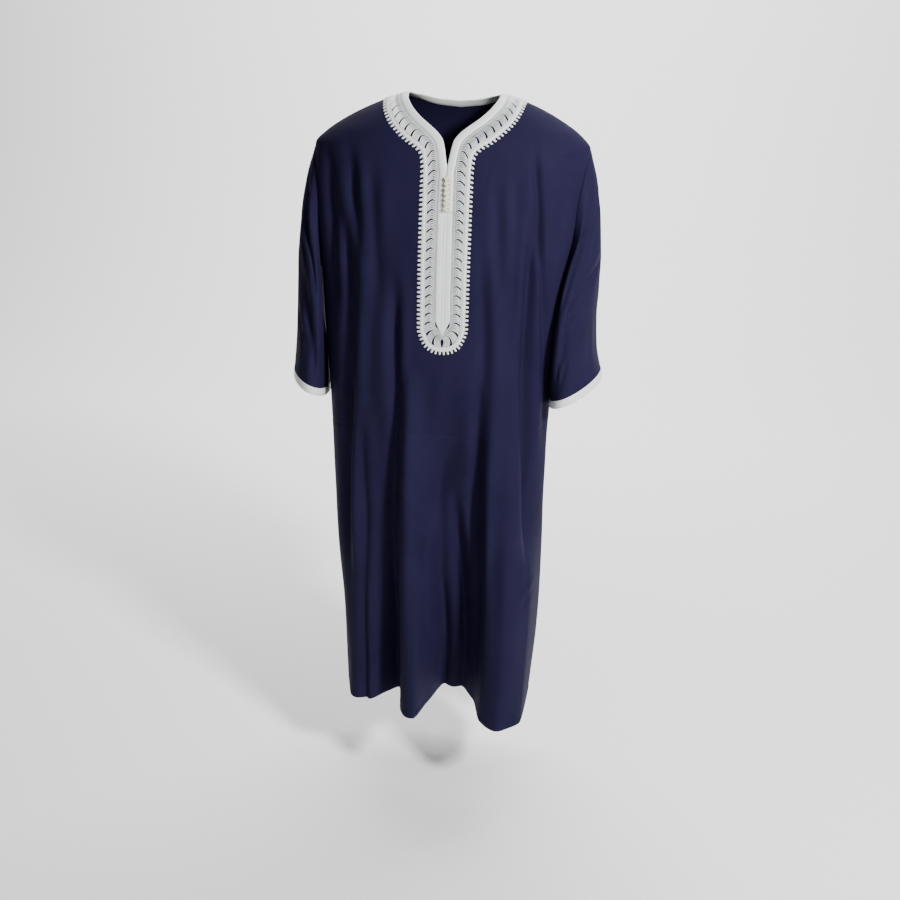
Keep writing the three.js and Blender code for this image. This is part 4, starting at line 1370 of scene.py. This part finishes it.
def makePlacket():
    drops = np.linspace(trim["fastenedTo"] - placket["overlap"], placket["tip"], placket["rows"])
    across = np.array([*(-share for share in placketTop[::-1]), 0, *placketTop, *placketUnder])
    under = np.arange(len(across)) >= len(across) - len(placketUnder)
    x = across * placketHalf(drops)[:, None]
    groove = placket["grooveDeep"] * bell(np.abs(x) - placket["ridgeHalf"], placket["ridgeWide"])
    pastEdge = np.clip((np.abs(across) - placket["edgeFrom"]) / (1 - placket["edgeFrom"]), 0, 1)
    high = (placket["high"] - groove) * (1 - placket["edgeFalls"] * pastEdge ** 2)
    h = np.where(under, trim["low"], high)
    rows = placketPoint(x, np.broadcast_to(drops[:, None], x.shape), h)
    pieces = [finishPiece(loftedPiece("placket_strip", rows), whiteSatin, ["placket"])]
    for side, tag in ((-1, "right"), (1, "left")):
        inset = side * (placketHalf(drops) * placket["edgeFrom"] - placket["stitchIn"])
        top = placket["high"] + placket["stitchLift"]
        path, lifted = (placketPoint(inset, drops, np.full_like(drops, top + lift)) for lift in (0, 1))
        name = f"placket_stitches_{tag}"
        pieces.append(stitchRow(name, path, lifted - path, "satin", whiteEmbroidery))
    return pieces


bar = {  # thread bars that tie the satin's edge to the net; places are across and off the cloth
    "pitch": 3.1,
    "inner": (-0.9, 2.6),
    "outer": (1.9, 1.5),
    "lifted": (0.5, 3.1),
    "radius": 0.3,
}


def makeLadder():
    u = alongNet.evenly(int(alongNet.length / bar["pitch"]))

    def bars(side):
        places = [bar["inner"], bar["outer"], bar["lifted"]]
        return np.stack([trimPoint(side, u, satinEdge(u) + w, np.full_like(u, h)) for w, h in places])

    inner, outer, lifted = np.concatenate([bars(1), bars(-1)], 1)
    length = np.linalg.norm(outer - inner, axis=-1).mean()
    along = unit(outer - inner)
    middles = (inner + outer) / 2
    normals = lifted - middles
    normals = unit(normals - along * (normals * along).sum(-1, keepdims=True))
    piece = stitchBars("braid_ladder", middles, along, normals, length, bar["radius"])
    return finishPiece(piece, whiteEmbroidery)


neckBinding = makeNeckBinding()
placketParts = makePlacket()
ladder = makeLadder()
print("satin sewn on")

button = {
    "count": 7,
    "knot": 3.15,
    "cord": 1.15,
    "core": 3.3,
    "coreSegments": 20,
    "coreRings": 12,
    "leads": 3,
    "bights": 4,
    "rise": 1.02,
    "weave": 0.5,  # how far the cord rises and dips as it crosses itself
    "weavePhase": 0.6,
    "steps": 216,
    "sides": 7,
    "turnEach": 0.9,  # radians, so that no two knots look alike
}
loop = {
    "radius": 0.8,
    "from": -2.6,
    "long": 12.5,
    "steps": 60,
    "sides": 7,
    "openHalf": 2.9,
    "shutHalf": 1.0,
    "closes": (0.3, 0.75),
    "roundTo": 0.32,
    "high": (3.9, 3.3),
}


def sweptTube(name, path, radius, sides, outward, closed=True):
    ahead = np.roll(path, -1, 0) - np.roll(path, 1, 0)
    if not closed:
        ahead[0], ahead[-1] = path[1] - path[0], path[-1] - path[-2]
    ahead = unit(ahead)
    aside = unit(np.cross(ahead, unit(outward)))
    out = np.cross(aside, ahead)
    turn = turnsRound(sides)
    ring = out[:, None] * np.sin(turn)[:, None] + aside[:, None] * np.cos(turn)[:, None]
    return loftedPiece(name, path[:, None] + ring * radius, loops=closed)


def knotPath():  # a cord woven over and under round a ball
    s = turnsRound(button["steps"])
    up = button["rise"] * np.sin(button["bights"] * s)
    round_ = button["leads"] * s
    weave = button["weave"] * np.cos(2 * button["bights"] * s + button["weavePhase"])
    around = np.cos(up)
    outward = np.stack([around * np.cos(round_), around * np.sin(round_), np.sin(up)], -1)
    return outward * (button["knot"] + weave)[:, None]


def makeButtons():
    pieces = []
    path = knotPath()
    for k in range(1, button["count"] + 1):
        low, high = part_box(f"button_{k}")
        middle = np.array((low + high) / 2) / mm
        turn = button["turnEach"] * k
        flat, up = math.cos(turn), math.sin(turn)
        cord = path @ np.array([[flat, 0, up], [-up, 0, flat], [0, -1, 0]])
        knot = sweptTube(f"button_{k}_knot", middle + cord, button["cord"], button["sides"], cord)
        pieces.append(finishPiece(knot, creamCord, [f"button_{k}"]))
        bpy.ops.mesh.primitive_uv_sphere_add(
            segments=button["coreSegments"],
            ring_count=button["coreRings"],
            radius=button["core"] * mm,
            location=middle * mm,
        )
        core = bpy.context.object
        core.name = f"button_{k}_core"
        core.data.uv_layers[0].name = "cut"
        bpy.ops.object.transform_apply(location=True, rotation=True, scale=True)
        pieces.append(finishPiece(core, creamCord))
        pieces.append(makeLoop(k, middle))
    return pieces


def makeLoop(k, middle):  # the cord loop that holds a button, sewn down at the wearer's left
    s = np.linspace(0, 1, loop["steps"])
    side = np.where(s < 0.5, 1, -1)
    along = np.abs(2 * s - 1)
    x = middle[0] + loop["from"] + loop["long"] * along
    roundEnd = np.sqrt(np.clip(1 - (1 - along / loop["roundTo"]) ** 2, 0, 1))
    open_ = np.where(along < loop["roundTo"], roundEnd, 1)
    z = side * lerp(loop["openHalf"], loop["shutHalf"], smoothStep(along, *loop["closes"])) * open_
    height = lerp(*loop["high"], along)
    drop = -(middle[2] + z)
    path = placketPoint(x, drop, height)
    up = placketPoint(x, drop, height + 1) - path
    piece = sweptTube(f"button_{k}_loop", path, loop["radius"], loop["sides"], up, closed=False)
    return finishPiece(piece, creamCord)


clothStitch = {
    "hemReach": 0.992,  # share of the way to the side seam
    "slitReach": 0.9842,
    "hemSteps": 700,
    "slitSteps": 200,
    "slitFrom": 6,
    "slitTo": 14,
    "off": 0.12,
    "readAside": 0.998,
    "readBelow": 0.001,
}


def clothStitches():
    rows = []
    tall = body["hemDrop"] - body["underarmDrop"]
    across = np.linspace(-clothStitch["hemReach"], clothStitch["hemReach"], clothStitch["hemSteps"])
    slitFrom = 1 + (body["slitDrop"] + clothStitch["slitFrom"] - body["underarmDrop"]) / tall
    down = np.linspace(slitFrom, 2 - clothStitch["slitTo"] / tall, clothStitch["slitSteps"])
    for face, tag in ((-1, "front"), (1, "back")):
        q = np.full_like(across, 2 - panelMesh["hemStitchUp"] / tall)
        rows.append((f"{tag}_hem_stitches", panelPath(face, across, q)))
        for side, hand in ((-1, "right"), (1, "left")):
            inset = np.full_like(down, side * clothStitch["slitReach"])
            rows.append((f"{tag}_slit_stitches_{hand}", panelPath(face, inset, down)))
    return [stitchRow(name, path, normals, "hem", navyThread) for name, (path, normals) in rows]


def panelPath(face, c, q):
    here = panelPoint(face, c, q)
    aside = panelPoint(face, c * clothStitch["readAside"], q) - here
    below = panelPoint(face, c, q - clothStitch["readBelow"]) - here
    normals = unit(np.cross(aside, below))
    normals = np.where((normals[:, 1:2] * face < 0), -normals, normals)
    return here + normals * clothStitch["off"], normals


buttons = makeButtons()
stitches = clothStitches()
print("buttons and stitches made")


sweep = {  # metres
    "size": (14, 9, 1),
    "centre": (0, 0.5, -1.58),
    "behind": 4,
    "wallHigh": 7,
    "bend": 2.2,
    "bendSteps": 24,
    "shade": 0.93,
    "rough": 0.9,
}


def makeStage():
    bpy.ops.mesh.primitive_plane_add(size=1)
    floor = bpy.context.object
    floor.name = "studio_sweep"
    bpy.ops.object.mode_set(mode="EDIT")
    bpy.ops.mesh.select_all(action="SELECT")
    bpy.ops.transform.resize(value=sweep["size"])
    bpy.ops.transform.translate(value=sweep["centre"])
    bpy.ops.mesh.select_all(action="DESELECT")
    bpy.ops.object.mode_set(mode="OBJECT")
    for edge in floor.data.edges:  # the far edge is drawn up as a wall
        edge.select = all(floor.data.vertices[k].co.y > sweep["behind"] for k in edge.vertices)
    for vertex in floor.data.vertices:
        vertex.select = vertex.co.y > sweep["behind"]
    bpy.ops.object.mode_set(mode="EDIT")
    bpy.ops.mesh.extrude_region_move(TRANSFORM_OT_translate={"value": (0, 0, sweep["wallHigh"])})
    bpy.ops.object.mode_set(mode="OBJECT")
    fold = floor.modifiers.new("fold", "BEVEL")
    fold.width = sweep["bend"]
    fold.segments = sweep["bendSteps"]
    fold.limit_method = "ANGLE"
    only(floor)
    bpy.ops.object.modifier_apply(modifier="fold")
    bpy.ops.object.shade_smooth()
    paper = bpy.data.materials.new("studio paper")
    paper.use_nodes = True
    shader = paper.node_tree.nodes["Principled BSDF"]
    shader.inputs["Base Color"].default_value = (sweep["shade"], sweep["shade"], sweep["shade"], 1)
    shader.inputs["Roughness"].default_value = sweep["rough"]
    floor.data.materials.append(paper)


lights = [
    # name, place, what it faces, width, height, power in watts
    ("key", (1.95, -1.95, 1.2), (0, 0, -0.6), 0.45, 0.45, 200),
    ("fill", (-1.2, -2.8, 0.2), (0, 0, -0.8), 0.8, 0.8, 6),
    ("behind", (0.0, 2.2, 3.0), (0, 4.6, -1.2), 6.0, 1.2, 480),
]


surround = {"seen": 0.8, "glow": 0.04}  # the room as the camera sees it, and the light that it gives


def makeLights():
    for name, place, target, width, height, power in lights:
        bpy.ops.object.light_add(type="AREA", location=place)
        lamp = bpy.context.object
        lamp.name = name
        lamp.data.shape = "RECTANGLE"
        lamp.data.size = width
        lamp.data.size_y = height
        lamp.data.energy = power
        lamp.rotation_euler = (Vector(target) - Vector(place)).to_track_quat("-Z", "Y").to_euler()
    world = bpy.context.scene.world or bpy.data.worlds.new("studio")
    bpy.context.scene.world = world
    world.use_nodes = True
    tree = world.node_tree
    background = tree.nodes["Background"]
    background.inputs["Color"].default_value = (1, 1, 1, 1)
    path = node(tree, "LightPath")
    seen = maths(tree, "MULTIPLY", path.outputs["Is Camera Ray"], surround["seen"])
    tree.links.new(maths(tree, "ADD", seen, surround["glow"]), background.inputs["Strength"])


makeStage()
makeLights()
print("stage lit")


def declareSheets():
    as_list(neckBinding[1:])
    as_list(placketParts[1:])


declareSheets()
